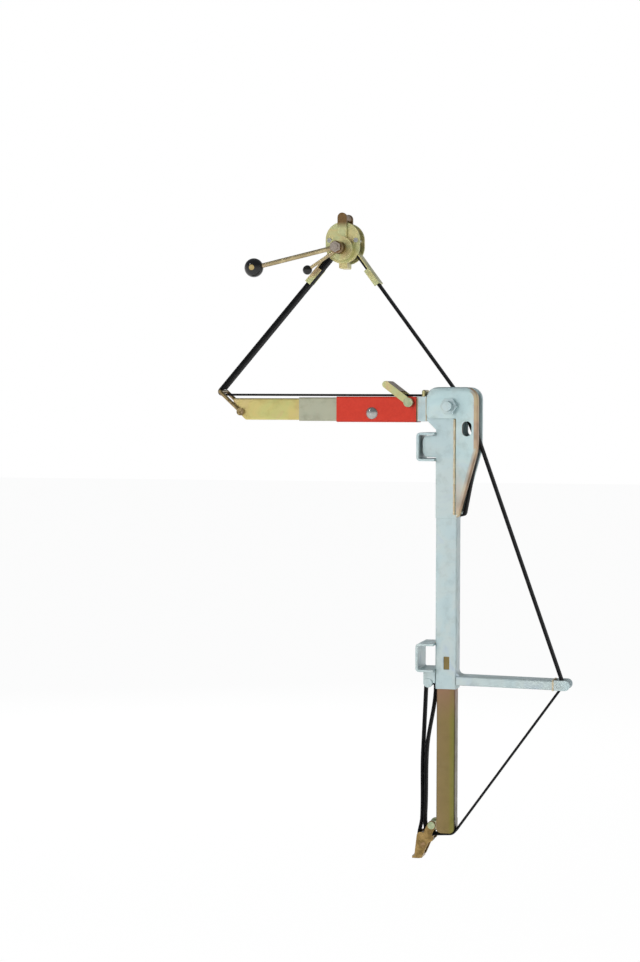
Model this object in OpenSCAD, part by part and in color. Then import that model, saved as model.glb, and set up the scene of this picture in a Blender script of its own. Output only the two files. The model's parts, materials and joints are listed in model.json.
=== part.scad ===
// Crane-hung drum lifter: a strap head, a telescopic arm over the drum,
// a telescopic post beside it, an outrigger and a bottom hook, joined by one long strap.
// Millimetres. +X to the outrigger, +Y to the back, +Z up.
// The origin is the centre of the lifting bar.

/* [Strap] */
// Width of the webbing
strap_w = 30; // [20:1:32]
// Thickness of the webbing
strap_t = 4.5; // [3:0.5:5]

/* [Head] */
// Diameter of the lifting bar
bar_d = 17; // [12:1:22]
// Drop from the lifting bar to the drive shaft
shaft_drop = 66; // [62:1:80]
// Clear width between the two head plates
head_gap = 40; // [36:1:50]
// Thickness of a head plate
head_plate_t = 5; // [4:1:8]
// Width of a head plate
head_plate_w = 74; // [70:1:90]
// Height of a head plate
head_plate_h = 88; // [86:1:110]
// Width of a stirrup leg
leg_w = 20; // [18:1:26]
// Thickness of a stirrup leg
leg_t = 7; // [5:1:10]
// Diameter of the drive shaft
shaft_d = 16; // [12:1:18]
// Diameter of the drive roller
roller_d = 24; // [22:1:28]
// Diameter of the brake housing
brake_d = 51; // [46:1:60]
// Length of a strap guide, measured from the drive roller
guide_len = 104; // [90:1:120]
// Length of the clip at the end of a strap guide
clip_len = 40; // [30:1:50]

/* [Crank] */
// Radius from the shaft to the ball of the crank
crank_r = 183; // [120:1:220]
// Angle of the crank below the horizontal
crank_angle = 13; // [0:1:25]
// Diameter of the crank rod
crank_rod_d = 10; // [8:1:12]
// Diameter of the crank ball
crank_ball_d = 40; // [32:1:45]
// Radius from the shaft to the ball of the brake lever
brake_lever_r = 83; // [70:1:100]
// Angle of the brake lever below the horizontal
brake_lever_angle = 33; // [28:1:45]
// Diameter of the brake lever rod
brake_rod_d = 7; // [5:1:8]
// Diameter of the brake lever ball
brake_ball_d = 20; // [16:1:24]

/* [Arm] */
// Height of the arm centre below the lifting bar
arm_drop = 404; // [395:1:415]
// Side of the inner arm tube
arm_inner_side = 46; // [40:1:46]
// Wall of the inner arm tube
arm_inner_wall = 3; // [2:0.5:4]
// Wall of the arm sleeve
sleeve_wall = 1.7; // [1.5:0.1:3]
// Wall of the red arm cover
cover_wall = 1.9; // [1.5:0.1:3]
// Reach of the inner tube to the left of the lifting bar
arm_reach = 239; // [220:1:260]
// Left end of the sleeve
sleeve_reach = 94; // [70:1:110]
// Left end of the red cover
cover_reach = 12; // [0:1:40]
// Travel of the inner tube each way
arm_travel = 40; // [20:1:40]
// Diameter of the stop bolt head
stop_head_d = 26; // [20:1:30]
// Diameter of the stop bolt shank
stop_shank_d = 12; // [8:1:14]
// Diameter of the rod of the tip bail
bail_d = 8; // [6:1:9]

/* [Strap lever] */
// Length of the lever between centres
lever_len = 62; // [50:1:70]
// Angle of the lever above the horizontal
lever_angle = 37; // [30:1:50]
// Width of a lever bar
lever_w = 15; // [12:1:18]
// Thickness of a lever bar
lever_t = 5; // [4:1:6]

/* [Frame head] */
// Left edge of the frame head
head_left = 182; // [176:1:186]
// Right edge of the frame head
head_right = 292; // [288:1:310]
// Top of the frame head above the arm centre
head_rise = 47; // [44:1:59]
// Width over the two cheeks
cheek_over = 76; // [72:1:90]
// Thickness of the cheek plate
cheek_t = 5; // [3:0.5:6]
// Outer radius of the cheek bend
cheek_bend = 8; // [6:0.5:10]
// Depth of the turned flange
flange_depth = 20; // [14:1:21]
// Diameter of the frame roller
frame_roller_d = 34; // [28:1:35]
// Diameter of the axle bolt
axle_d = 20; // [16:1:20]

/* [Post] */
// Position of the post axis
post_x = 224.6; // [220:0.1:226]
// Side of the outer post tube
post_side = 45; // [42:1:45]
// Wall of the outer post tube
post_wall = 2.5; // [2:0.5:3]
// Wall of the inner post tube
foot_wall = 2.5; // [2:0.5:4]
// Length of the outer tube below the lower pad
post_tail = 37; // [35:1:60]
// Bottom of the foot below the outer tube
foot_drop = 305; // [270:1:320]
// Length of the inner tube kept inside the outer tube
post_lap = 78; // [60:1:120]

/* [Pads] */
// Drum face of the pads
pad_face = 164; // [160:0.5:170]
// Depth of a pad
pad_depth = 90; // [60:1:110]
// Height of a pad
pad_h = 60; // [58:1:70]
// Thickness of the pad plate
pad_t = 5; // [4:0.5:6]
// Top of the upper pad below the arm centre
upper_pad_top = 48; // [46:1:66]
// Top of the lower pad below the arm centre
lower_pad_top = 490; // [456:1:496]

/* [Outrigger] */
// Reach of the outrigger pin
outrigger_x = 462; // [420:1:500]
// Height of the outrigger tube
outrigger_h = 20; // [16:1:24]
// Depth of the outrigger tube
outrigger_depth = 50; // [44:1:60]
// Droop of the outrigger
outrigger_droop = 1; // [0:0.5:2]
// Thickness of a fork prong
prong_t = 8.5; // [7:0.5:9]

/* [Bottom hook] */
// Distance of the hook pivot from the post face
hook_reach = 9; // [8:0.5:12]
// Diameter of the hook pivot pin
hook_pin_d = 10; // [8:1:12]
// Thickness of a hook plate
hook_t = 4; // [3:0.5:6]
// Depth of the hook below its pivot
hook_drop = 62; // [55:1:75]

/* [Hidden] */
$fn = 64;
seat = 0.3;
slide = 0.3;
run = 0.05;
touch = 0.1;
eps = 0.01;
past = 2;

strap_half = strap_t / 2;
shaft = [0, -shaft_drop];
plate_r = head_plate_w / 2;
plate_top_z = -bar_d / 2 - 0.5;
plate_bottom_z = plate_top_z - head_plate_h;
head_in = head_gap / 2;
head_out = head_in + head_plate_t;
leg_out = head_out + leg_t;
shaft_r = shaft_d / 2;
bush_r = shaft_r + 3;
bush_flange_r = bush_r + 3;
leg_eye_r = bush_flange_r + 5;
tie = [plate_r - 8.5, -48];
tie_r = 4.5;

brake_r = brake_d / 2;
brake_len = 14;
brake_wall = 3;
brake_front = leg_out + brake_len;
lining_t = 2.4;
disc_t = 4;
nut_len = 12;
nut_front = brake_front + seat + nut_len;
lever_y = -(brake_front + seat + nut_len / 2);
hub_back = nut_front + seat;
hub_front = hub_back + 30;
hub_boss_len = 14;
crank_y = -(hub_front - hub_boss_len / 2);
hub_r = shaft_r + 5;
crank_ball_r = crank_ball_d / 2;
brake_ball_r = brake_ball_d / 2;
socket_depth = 0.6;

arm_z = -arm_drop;
head_top_z = arm_z + head_rise;
upper_pad_z = arm_z - upper_pad_top;
lower_pad_z = arm_z - lower_pad_top;
pad_bottom_z = lower_pad_z - pad_h;
post_bottom_z = pad_bottom_z - post_tail;
foot_bottom_z = post_bottom_z - foot_drop;
inner_half = arm_inner_side / 2;
sleeve_half = inner_half + slide + sleeve_wall;
cover_half = sleeve_half + touch + cover_wall;
cover_end = 160;
arm_corner = 4;
stop_x = 64.5;
stop_drop = 8;
stop = [stop_x, arm_z - stop_drop];
slot_w = stop_shank_d + 0.6;
slot_end_wall = 5.7;
inner_end = stop_x + arm_travel + slot_w / 2 + slot_end_wall;
bail_r = bail_d / 2;
tip_out = 29;
tip_rise = 37;
tip = [-arm_reach - tip_out, arm_z + tip_rise];
bail_foot_in = 17;
bail_foot_drop = 6;
bail_foot = [-arm_reach + bail_foot_in, arm_z - bail_foot_drop];
bail_y = inner_half + bail_r;
bail_eye_r = 8;

saddle_z = arm_z + cover_half + 0.3;
saddle_r = 20;
saddle_in = 22;
saddle_x = cover_end + saddle_in;
root_lap = 24;
root_end = head_left + root_lap;
root_half = post_side / 2 - touch;
root_drop = 25;
root_bottom = arm_z - root_drop;
keeper_in = 15;
keeper_x = cover_end + keeper_in;
keeper_r = 4;
keeper_z = saddle_z + seat + strap_t + 1 + keeper_r;
keeper_y = strap_w / 2 + 1.4 + keeper_r;

lever_back = 15;
lever_rise = 15;
lever_pivot = [cover_end - lever_back, arm_z + lever_rise];
stub_r = 10;
stub_len = 15;
lever_in = cover_half + 0.6;
lever_tip = lever_pivot + lever_len * [-cos(lever_angle), sin(lever_angle)];
lever_web_t = 3;
lever_web_start = 30;

cheek_out = cheek_over / 2;
cheek_in = cheek_out - cheek_t;
flange_in = cheek_out - flange_depth;
axle_x = 233;
axle_rise = 7;
axle = [axle_x, arm_z + axle_rise];
axle_r = axle_d / 2;
axle_nut_t = 16;
axle_stud = 20;
frame_roller_r = frame_roller_d / 2;
roller_flange_r = frame_roller_r + strap_t + seat + 3;
roller_flange_t = 2.5;
lip_r = 5;
lip_inset = 12;
lip_drop = 74;
lip = [head_right - lip_inset, arm_z - lip_drop];
anchor_r = 3;
post_half = post_side / 2;
post_left = post_x - post_half;
post_right = post_x + post_half;
anchor_drop = 216;
anchor_gap = 0.4;
anchor = [post_right + anchor_gap + anchor_r + seat + strap_t, arm_z - anchor_drop];
cheek_corner = 25;
notch_x = post_right;
notch_drop = 18;
notch_z = arm_z - notch_drop;
notch_wall = 4;
cheek_tail_r = 10;
cheek_knee = 80;
cheek_tail_in = 10.3;
cheek_bottom = anchor[1] - cheek_tail_r;
hand_slot_inset = 22.5;
hand_slot_drop = 40;
hand_slot = [head_right - hand_slot_inset, arm_z - hand_slot_drop];
hand_slot_w = 20;
hand_slot_h = 31;
side_plate_t = 4;
side_plate_out = post_half + side_plate_t;
side_plate_tail = 2;
side_plate_bottom = cheek_bottom - side_plate_tail;
side_plate_lap = 12;
side_plate_top = notch_z + side_plate_lap;

post_top = root_bottom - touch;
post_corner = 4;
foot_side = post_side - 2 * post_wall - 2 * slide;
foot_half = foot_side / 2;
foot_left = post_x - foot_half;
foot_r = 12;
foot_cap_h = 28;
window_off = 1.5;
window_rise = 55;
window = [post_x + window_off, post_bottom_z + window_rise];
window_w = 12;
window_h = 27;

lug_pin_r = 5;
lug_inset = 23;
lug_drop = 24.5;
lug_head_r = 9.5;
lug_pin = [pad_face + lug_inset, pad_bottom_z - lug_drop];
lug_in = strap_w / 2 + 3;
lug_t = 5;
clamp_mid = post_left - touch - strap_half;
clamp_turn = 20;
clamp_start = 4;
clamp_end = 36;
clamp_rise = 25;
clamp_h = 10;
clamp_t = 3;
clamp_half = lug_in - seat;
clamp_side = 1;
clamp_wing = clamp_half - strap_w / 2 - clamp_side;

outrigger_pin_r = 4.5;
outrigger_rise = 15;
outrigger_z = post_bottom_z + outrigger_rise;
outrigger_pin = [outrigger_x, outrigger_z];
outrigger_wall = 2.5;
prong_h = 21;
prong_in = outrigger_depth / 2 - prong_t;
prong_back = 10;
prong_front = 24;
prong_start = outrigger_x - prong_back;
prong_end = outrigger_x + prong_front;

hook_pin_r = hook_pin_d / 2;
hook_rise = 16.5;
hook_pivot = [foot_left - hook_reach, foot_bottom_z + hook_rise];
hook_lug_t = 4;
hook_lug_in = foot_half - hook_lug_t;
hook_in = foot_half + seat;
hook_strap_out = 23;
hook_strap_drop = 23.5;
hook_strap_pin = hook_pivot - [hook_strap_out, hook_strap_drop];
hook_strap_pin_r = 5;
hook_end_out = 3;
hook_end_drop = 27.5;
hook_end_pin = hook_pivot - [hook_end_out, hook_end_drop];
hook_end_pin_r = 3.5;
claw_out = 27;
claw = hook_pivot - [claw_out, hook_drop];
claw_r = 9;
claw_reach = 14;

// Radius of the middle of the webbing on a round of radius r
function wrap(r) = r + seat + strap_half;

// The strap's rounds in order of travel: [x, z, r], r positive where the strap turns left
route = [
    [anchor[0], anchor[1], wrap(anchor_r)],
    [lip[0], lip[1], wrap(lip_r)],
    [axle[0], axle[1], wrap(frame_roller_r)],
    [saddle_x, saddle_z - saddle_r, wrap(saddle_r)],
    [tip[0], tip[1], -wrap(bail_r)],
    [shaft[0], shaft[1], -wrap(roller_d / 2)],
    [axle[0], axle[1], -wrap(frame_roller_r) - strap_t - seat],
    [lip[0], lip[1], -wrap(lip_r) - strap_t - seat],
    [outrigger_pin[0], outrigger_pin[1], -wrap(outrigger_pin_r)],
    [post_x + foot_half - foot_r, foot_bottom_z + foot_r, -wrap(foot_r)],
    [hook_end_pin[0], hook_end_pin[1], wrap(hook_end_pin_r)]
];
loop_turn = 200;
TIP = 4;
DRIVE = 5;
hook_route = [
    [lug_pin[0], lug_pin[1], wrap(lug_pin_r)],
    [hook_strap_pin[0], hook_strap_pin[1], wrap(hook_strap_pin_r)],
    [clamp_mid - clamp_turn, post_bottom_z - clamp_start, clamp_turn],
    [clamp_mid, post_bottom_z + clamp_end, 0]
];

// Heading of the straight between two rounds
function heading(p, q) =
    atan2(q[1] - p[1], q[0] - p[0]) - asin((q[2] - p[2]) / norm([q[0] - p[0], q[1] - p[1]]));
// Turn from heading a to heading b on a round of radius r
function turned(a, b, r) = r >= 0 ? ((b - a) % 360 + 360) % 360 : -(((a - b) % 360 + 360) % 360);
// Point of a round at a heading, moved sideways from the middle of the webbing
function on_round(c, u, side) = [c[0], c[1]] + (c[2] - side) * [sin(u), -cos(u)];
// Heading in and sweep of each round of a route
function heading_in(path, i, loop) =
    i == 0 ? heading(path[0], path[1]) - loop * sign(path[0][2]) : heading(path[i - 1], path[i]);
function sweep(path, i, first, last) =
    i == 0 ? first * sign(path[0][2])
    : i == len(path) - 1 ? last * sign(path[i][2])
    : turned(heading(path[i - 1], path[i]), heading(path[i], path[i + 1]), path[i][2]);
// One edge of the webbing along a route
function edge(path, side, first, last) = [
    for (i = [0 : len(path) - 1])
        let (total = sweep(path, i, first, last), steps = max(1, ceil(abs(total) / 12)))
        for (k = [0 : steps])
            on_round(path[i], heading_in(path, i, first) + total * k / steps, side)
];
function reversed(list) = [for (i = [len(list) - 1 : -1 : 0]) list[i]];

// Basic forms

// Round bar along Y between two depths
module rod_y(at, r, y0, y1) {
    translate([at[0], y1, at[1]]) rotate([90, 0, 0]) cylinder(r = r, h = y1 - y0);
}

// Outline in X and Z, given a thickness in Y
module plate_y(y0, y1) {
    translate([0, y1, 0]) rotate([90, 0, 0]) linear_extrude(y1 - y0) children();
}

// The same plate on both sides of the middle
module plates_y(y0, y1) {
    plate_y(y0, y1) children();
    plate_y(-y1, -y0) children();
}

// Flat bar outline with round ends
module bar_outline(a, b, w) {
    length = norm(b - a);
    translate(a) rotate(atan2(b[1] - a[1], b[0] - a[0]))
        translate([0, eps - w / 2]) square([length, w - 2 * eps]);
    translate(a) circle(d = w);
    translate(b) circle(d = w);
}

// Rectangle with round corners
module round_rect(w, h, r) {
    square([w - 2 * r, h], center = true);
    square([w, h - 2 * r], center = true);
    for (x = [-1, 1], y = [-1, 1])
        translate([x * (w / 2 - r), y * (h / 2 - r)]) circle(r);
}

// Wall outline of a rectangular tube
module tube_outline(w, h, wall, r) {
    difference() {
        round_rect(w, h, r);
        round_rect(w - 2 * wall, h - 2 * wall, max(r - wall, 0.8));
    }
}

// Square tube along X
module tube_x(x0, x1, half, wall) {
    translate([x0, 0, arm_z]) rotate([0, 90, 0])
        linear_extrude(x1 - x0) tube_outline(2 * half, 2 * half, wall, arm_corner);
}

// Square tube along Z
module tube_z(z0, z1, half, wall) {
    translate([post_x, 0, z0]) linear_extrude(z1 - z0) tube_outline(2 * half, 2 * half, wall, post_corner);
}

// Straight rod between two points
module rod_between(a, b, r) {
    d = b - a;
    translate(a) rotate([0, acos(d[2] / norm(d)), atan2(d[1], d[0])]) cylinder(r = r, h = norm(d));
}

// Webbing along a route, with a loop of the given sweep at each end
module webbing(path, first, last) {
    plate_y(-strap_w / 2, strap_w / 2)
        polygon(concat(
            edge(path, strap_half, first, last),
            reversed(edge(path, -strap_half, first, last))));
}

// Head

module head_plate_outline() {
    difference() {
        bar_outline([0, plate_top_z - plate_r], [0, plate_bottom_z + plate_r], head_plate_w);
        translate(shaft) circle(bush_r + run);
    }
}

module head_front_plate() {
    color("#c9b86a") plate_y(-head_out, -head_in) head_plate_outline();
}

module head_back_plate() {
    color("#c9b86a") plate_y(head_in, head_out) head_plate_outline();
}

module lifting_stirrup() {
    color("#a8955a") {
        rod_y([0, 0], bar_d / 2, -leg_out, leg_out);
        plates_y(head_out, leg_out)
            difference() {
                union() {
                    bar_outline([0, 0], shaft, leg_w);
                    translate(shaft) circle(leg_eye_r);
                }
                translate(shaft) circle(bush_flange_r + touch);
            }
    }
}

module drive_shaft() {
    color("silver") rod_y(shaft, shaft_r, -hub_front, leg_out + 8);
}

module drive_roller() {
    color("dimgray") difference() {
        rod_y(shaft, roller_d / 2, -head_in + seat, head_in - seat);
        rod_y(shaft, shaft_r + run, -head_in, head_in);
    }
}

module shaft_bushes() {
    color("peru")
        for (side = [0, 1]) mirror([0, side, 0])
            difference() {
                union() {
                    rod_y(shaft, bush_r, head_in + touch, head_out + touch);
                    rod_y(shaft, bush_flange_r, head_out, leg_out);
                }
                rod_y(shaft, shaft_r + run, head_in, leg_out + past);
            }
}

module head_ties() {
    color("silver")
        for (x = [-1, 1]) rod_y([x * tie[0], tie[1]], tie_r, -head_in, head_in);
}

module head_screws() {
    color("silver")
        for (x = [-1, 1], side = [0, 1]) mirror([0, side, 0])
            difference() {
                rod_y([x * tie[0], tie[1]], tie_r + 0.5, head_out, head_out + 3);
                translate([x * tie[0], head_out + 3, tie[1]])
                    cube([2 * tie_r + past, 2.4, 1.6], center = true);
            }
}

module bottom_block() {
    color("#b7a767")
        translate([0, 0, plate_bottom_z])
            rotate([90, 0, 0]) linear_extrude(head_gap, center = true) round_rect(18, 20, 3);
}

// Strap guide in the frame of its strand: X along the strand, Z out of the loop
module guide_shape() {
    web_z = strap_half + 0.5;
    web_t = 3;
    ear_y = strap_w / 2 + 1;
    ear_t = 2.5;
    ear_drop = strap_t + 5;
    start = 20;
    translate([start, -head_in, web_z]) cube([guide_len - start, head_gap, web_t]);
    for (side = [0, 1]) mirror([0, side, 0])
        translate([guide_len - clip_len, ear_y, web_z - ear_drop]) cube([clip_len, ear_t, ear_drop]);
}

module left_guide() {
    u = heading(route[TIP], route[DRIVE]);
    start = on_round(route[DRIVE], u, 0);
    color("#c9b86a") translate([start[0], 0, start[1]]) rotate([0, 180 - u, 0])
        mirror([0, 0, 1]) guide_shape();
}

module right_guide() {
    u = heading(route[DRIVE], route[DRIVE + 1]);
    start = on_round(route[DRIVE], u, 0);
    color("#c9b86a") translate([start[0], 0, start[1]]) rotate([0, -u, 0]) guide_shape();
}

// Brake and crank

module brake_housing() {
    color("#cbbd76") difference() {
        rod_y(shaft, brake_r, -brake_front, -head_out);
        rod_y(shaft, brake_r - brake_wall, -brake_front + brake_wall, 0);
        rod_y(shaft, shaft_r + seat, -brake_front - past, 0);
        plate_y(-leg_out - touch, 0)
            translate(shaft - [leg_w / 2 + touch, 0]) square([leg_w + 2 * touch, brake_r + past]);
    }
}

module brake_disc() {
    back = leg_out + brake_len - brake_wall - seat - lining_t - seat;
    color("gray") difference() {
        rod_y(shaft, brake_r - brake_wall - 1.5, -back, -back + disc_t);
        rod_y(shaft, shaft_r + run, -back - past, past);
    }
}

module brake_lining() {
    front = leg_out + brake_len - brake_wall;
    color("saddlebrown") difference() {
        rod_y(shaft, brake_r - brake_wall - touch, -front, -front + lining_t);
        rod_y(shaft, shaft_r + 3, -front - past, past);
    }
}

// Point at a radius from the shaft, below the horizontal on the left
function at_lever(r, angle) = shaft + r * [-cos(angle), -sin(angle)];

module radial_rod(r0, r1, angle, y, r) {
    a = at_lever(r0, angle);
    b = at_lever(r1, angle);
    rod_between([a[0], y, a[1]], [b[0], y, b[1]], r);
}

module brake_nut() {
    color("#a8955a") difference() {
        rod_y(shaft, hub_r, -nut_front, -brake_front - seat);
        rod_y(shaft, shaft_r + run, -nut_front - past, 0);
        radial_rod(hub_r - 2, brake_lever_r, brake_lever_angle, lever_y, brake_rod_d / 2 + touch);
    }
}

module brake_rod() {
    color("#8f7f4c")
        radial_rod(hub_r - 2 + touch, brake_lever_r - brake_ball_r * socket_depth, brake_lever_angle,
            lever_y, brake_rod_d / 2);
}

module brake_ball() {
    at = at_lever(brake_lever_r, brake_lever_angle);
    color("#1c1c1c") difference() {
        translate([at[0], lever_y, at[1]]) rotate([90, 0, 0]) rotate(180) sphere(brake_ball_r);
        radial_rod(0, brake_lever_r - brake_ball_r * socket_depth + touch, brake_lever_angle, lever_y,
            brake_rod_d / 2 + touch);
    }
}

module crank_hub() {
    color("#8f7f4c") difference() {
        union() {
            rod_y(shaft, hub_r - 2, -hub_front, -hub_back);
            rod_y(shaft, hub_r, -hub_front, -hub_front + hub_boss_len);
        }
        rod_y(shaft, shaft_r + run, -hub_front - past, 0);
        radial_rod(hub_r - 2.5, crank_r, crank_angle, crank_y, crank_rod_d / 2 + touch);
    }
}

module crank_rod() {
    color("#9a8a55")
        radial_rod(hub_r - 2.5 + touch, crank_r - crank_ball_r * socket_depth, crank_angle, crank_y,
            crank_rod_d / 2);
}

module crank_ball() {
    at = at_lever(crank_r, crank_angle);
    color("#1c1c1c") difference() {
        translate([at[0], crank_y, at[1]]) rotate([90, 0, 0]) rotate(180) sphere(crank_ball_r);
        radial_rod(0, crank_r - crank_ball_r * socket_depth + touch, crank_angle, crank_y,
            crank_rod_d / 2 + touch);
        rod_y(at, 6, crank_y - crank_ball_r - past, crank_y - crank_ball_r + 3);
    }
}

module crank_insert() {
    at = at_lever(crank_r, crank_angle);
    front = crank_y - crank_ball_r;
    color("gold") rod_y(at, 6 - touch, front + 0.6, front + 3 - touch);
}

module crank_nut() {
    color("silver") {
        translate([shaft[0], -hub_front, shaft[1]]) rotate([90, 30, 0])
            cylinder(r = hub_r - 1, h = 8, $fn = 6);
        translate([shaft[0], -hub_front - 8, shaft[1]]) rotate([90, 0, 0]) cylinder(r = shaft_r - 1.5, h = 4);
    }
}

module shaft_collar() {
    color("silver") difference() {
        rod_y(shaft, shaft_r + 5, leg_out + seat, leg_out + 8);
        rod_y(shaft, shaft_r + run, 0, leg_out + 8 + past);
    }
}

// Straps

module lifting_strap() {
    color("#1a1a1a") webbing(route, loop_turn, loop_turn);
}

module hook_strap() {
    color("#1a1a1a") webbing(hook_route, loop_turn, 0);
}

// Arm

module arm_tube() {
    bevel = 27;
    color("#d8c987") difference() {
        tube_x(-arm_reach, inner_end, inner_half, arm_inner_wall);
        plate_y(-inner_half - past, inner_half + past)
            polygon([
                [-arm_reach - past, arm_z - inner_half + bevel + past],
                [-arm_reach - past, arm_z - inner_half - past],
                [-arm_reach + bevel + past, arm_z - inner_half - past]]);
        plate_y(-inner_half - past, 0)
            bar_outline([stop[0] - arm_travel, stop[1]], [stop[0] + arm_travel, stop[1]], slot_w);
    }
}

module arm_end_cap() {
    side = 2 * (inner_half - arm_inner_wall - touch);
    color("#b9ab6f") translate([inner_end - 4, 0, arm_z]) rotate([0, 90, 0])
        linear_extrude(4) round_rect(side, side, 1);
}

module tip_bail() {
    color("#8f7f4c") {
        rod_y(tip, bail_r, -bail_y, bail_y);
        for (side = [-1, 1]) {
            rod_between([tip[0], side * bail_y, tip[1]], [bail_foot[0], side * bail_y, bail_foot[1]], bail_r);
            translate([tip[0], side * bail_y, tip[1]]) sphere(bail_r + 0.2);
        }
        for (side = [0, 1]) mirror([0, side, 0])
            rod_y(bail_foot, bail_eye_r, inner_half + touch, inner_half + bail_d + 1);
    }
}

module arm_sleeve() {
    color("#b9bcb0") difference() {
        tube_x(-sleeve_reach, cover_end, sleeve_half, sleeve_wall);
        rod_y(stop, stop_shank_d / 2 + touch, -sleeve_half - past, 0);
    }
}

module arm_cover() {
    color("#c8392b") difference() {
        tube_x(-cover_reach, cover_end, cover_half, cover_wall);
        rod_y(stop, stop_shank_d / 2 + touch, -cover_half - past, 0);
    }
}

module stop_bolt() {
    dome_h = 7;
    head_r = stop_head_d / 2;
    dome_r = (head_r * head_r + dome_h * dome_h) / (2 * dome_h);
    color("silver") {
        rod_y(stop, stop_shank_d / 2, -cover_half, -inner_half + arm_inner_wall);
        intersection() {
            translate([stop[0], -cover_half - dome_h + dome_r, stop[1]]) sphere(dome_r);
            rod_y(stop, head_r, -cover_half - dome_h - past, -cover_half);
        }
    }
}

module arm_root() {
    color("#c5cdd0") plate_y(-root_half, root_half) {
        translate([cover_end, root_bottom]) square([saddle_x - cover_end, saddle_z - root_bottom]);
        translate([cover_end, root_bottom]) square([root_end - cover_end, saddle_z - saddle_r - root_bottom]);
        translate([saddle_x, saddle_z - saddle_r]) circle(saddle_r);
    }
}

module strap_keeper() {
    color("#b7a767") {
        rod_y([keeper_x, keeper_z], keeper_r, -keeper_y, keeper_y);
        for (side = [-1, 1]) {
            translate([keeper_x, side * keeper_y, keeper_z]) sphere(keeper_r);
            translate([keeper_x, side * keeper_y, saddle_z]) cylinder(r = keeper_r, h = keeper_z - saddle_z);
        }
    }
}

// U-shaped lever, bent from one strip: two bars joined by a web over the top of the arm
module strap_lever() {
    out = lever_in + lever_t;
    inner_r = lever_w / 2 - lever_web_t;
    web_len = lever_len - lever_web_start;
    color("#b59a4e") difference() {
        plate_y(-out, out) bar_outline(lever_pivot, lever_tip, lever_w);
        plate_y(-lever_in, lever_in) translate(lever_tip) rotate(-lever_angle) {
            translate([web_len, -lever_w]) square([lever_len + lever_w, 2 * lever_w]);
            translate([-lever_w, -lever_w]) square([lever_w + web_len + eps, lever_w]);
            translate([0, -past]) square([web_len + eps, inner_r + past - eps]);
            circle(inner_r);
        }
        rod_y(lever_pivot, stub_r - 5 + run, -out - past, out + past);
    }
}

module lever_stubs() {
    color("#d5d9d8")
        for (side = [0, 1]) mirror([0, side, 0]) {
            rod_y(lever_pivot, stub_r - 5, cover_half, lever_in + lever_t + seat);
            rod_y(lever_pivot, stub_r, lever_in + lever_t + seat, cover_half + stub_len);
        }
}

// Frame head

// Corner rounds of the cheek, counter-clockwise from the lower left: [x, z, radius]
cheek_corners = [
    [head_left + cheek_tail_r, notch_z + cheek_tail_r, cheek_tail_r],
    [anchor[0] - cheek_tail_in, anchor[1], cheek_tail_r],
    [head_right - cheek_corner, arm_z - cheek_knee, cheek_corner],
    [head_right - cheek_corner, head_top_z - cheek_corner, cheek_corner],
    [head_left + cheek_corner, head_top_z - cheek_corner, cheek_corner]
];

// Closed outline round a list of corners, drawn in by an inset
function around(corners, inset) =
    let (n = len(corners), c = [for (k = corners) [k[0], k[1], k[2] - inset]])
    [for (i = [0 : n - 1])
        let (u = heading(c[(i + n - 1) % n], c[i]),
            total = turned(u, heading(c[i], c[(i + 1) % n]), 1),
            steps = ceil(total / 18))
        for (k = [0 : steps]) on_round(c[i], u + total * k / steps, 0)];

// Convex form of the pressed cheek, with a round bend at its front
module cheek_form() {
    hull() {
        for (a = [0, 45, 90])
            plate_y(-cheek_out + cheek_bend * (1 - cos(a)), -cheek_out + cheek_bend * (1 - cos(a)) + eps)
                polygon(around(cheek_corners, cheek_bend * (1 - sin(a))));
        plate_y(-flange_in - eps, -flange_in) polygon(around(cheek_corners, 0));
    }
}

module cheek() {
    slot_reach = [0, (hand_slot_h - hand_slot_w) / 2];
    difference() {
        cheek_form();
        plate_y(-cheek_in, 0) polygon(around(cheek_corners, cheek_t));
        translate([head_left - past, -cheek_out - past, cheek_bottom - past])
            cube([notch_x - head_left + past, cheek_out + past, notch_z - cheek_bottom + past]);
        translate([head_left - past, -side_plate_out - touch, root_bottom])
            cube([root_end - head_left + past + 2, side_plate_out + past, saddle_z + 14 - root_bottom]);
        rod_y(axle, axle_r + touch, -cheek_out - past, 0);
        plate_y(-cheek_out - past, 0)
            bar_outline(hand_slot + slot_reach, hand_slot - slot_reach, hand_slot_w);
    }
    plate_y(-cheek_in, -side_plate_out) {
        translate([head_left + 4, notch_z]) square([notch_x - head_left, notch_wall]);
        translate([notch_x, cheek_bottom + 4]) square([notch_wall, notch_z - cheek_bottom]);
    }
}

module front_cheek() {
    color("#c9d3d6") cheek();
}

module back_cheek() {
    color("#c9d3d6") mirror([0, 1, 0]) cheek();
}

module side_plates() {
    tab_top = upper_pad_z - pad_t - 1;
    tab_bottom = upper_pad_z - pad_h + pad_t + 3;
    tab_left = pad_face + pad_t + 5;
    tab_r = 14;
    left = head_left + 4;
    slant_top = notch_z - 8;
    slant_bottom = notch_z - 24;
    taper_top = side_plate_bottom + 72;
    taper_bottom = side_plate_bottom + 27;
    color("#c9d3d6") plates_y(post_half, side_plate_out) difference() {
        union() {
            polygon([
                [left, side_plate_top], [notch_x + notch_wall, side_plate_top],
                [notch_x + notch_wall, taper_top], [notch_x, taper_bottom], [notch_x, side_plate_bottom],
                [post_left, side_plate_bottom], [post_left, slant_bottom], [left, slant_top]]);
            translate([tab_left, tab_bottom + tab_r])
                square([post_left - tab_left + 1, tab_top - tab_bottom - 2 * tab_r]);
            translate([tab_left + tab_r, tab_bottom])
                square([post_left - tab_left - tab_r + 1, tab_top - tab_bottom]);
            for (z = [tab_bottom + tab_r, tab_top - tab_r]) translate([tab_left + tab_r, z]) circle(tab_r);
        }
        translate(axle) circle(frame_roller_r + 1.5);
    }
}

module axle_bolt() {
    color("#bfc6c8") rod_y(axle, axle_r, -cheek_out - axle_nut_t - axle_stud, cheek_out + axle_nut_t + 4);
}

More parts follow.
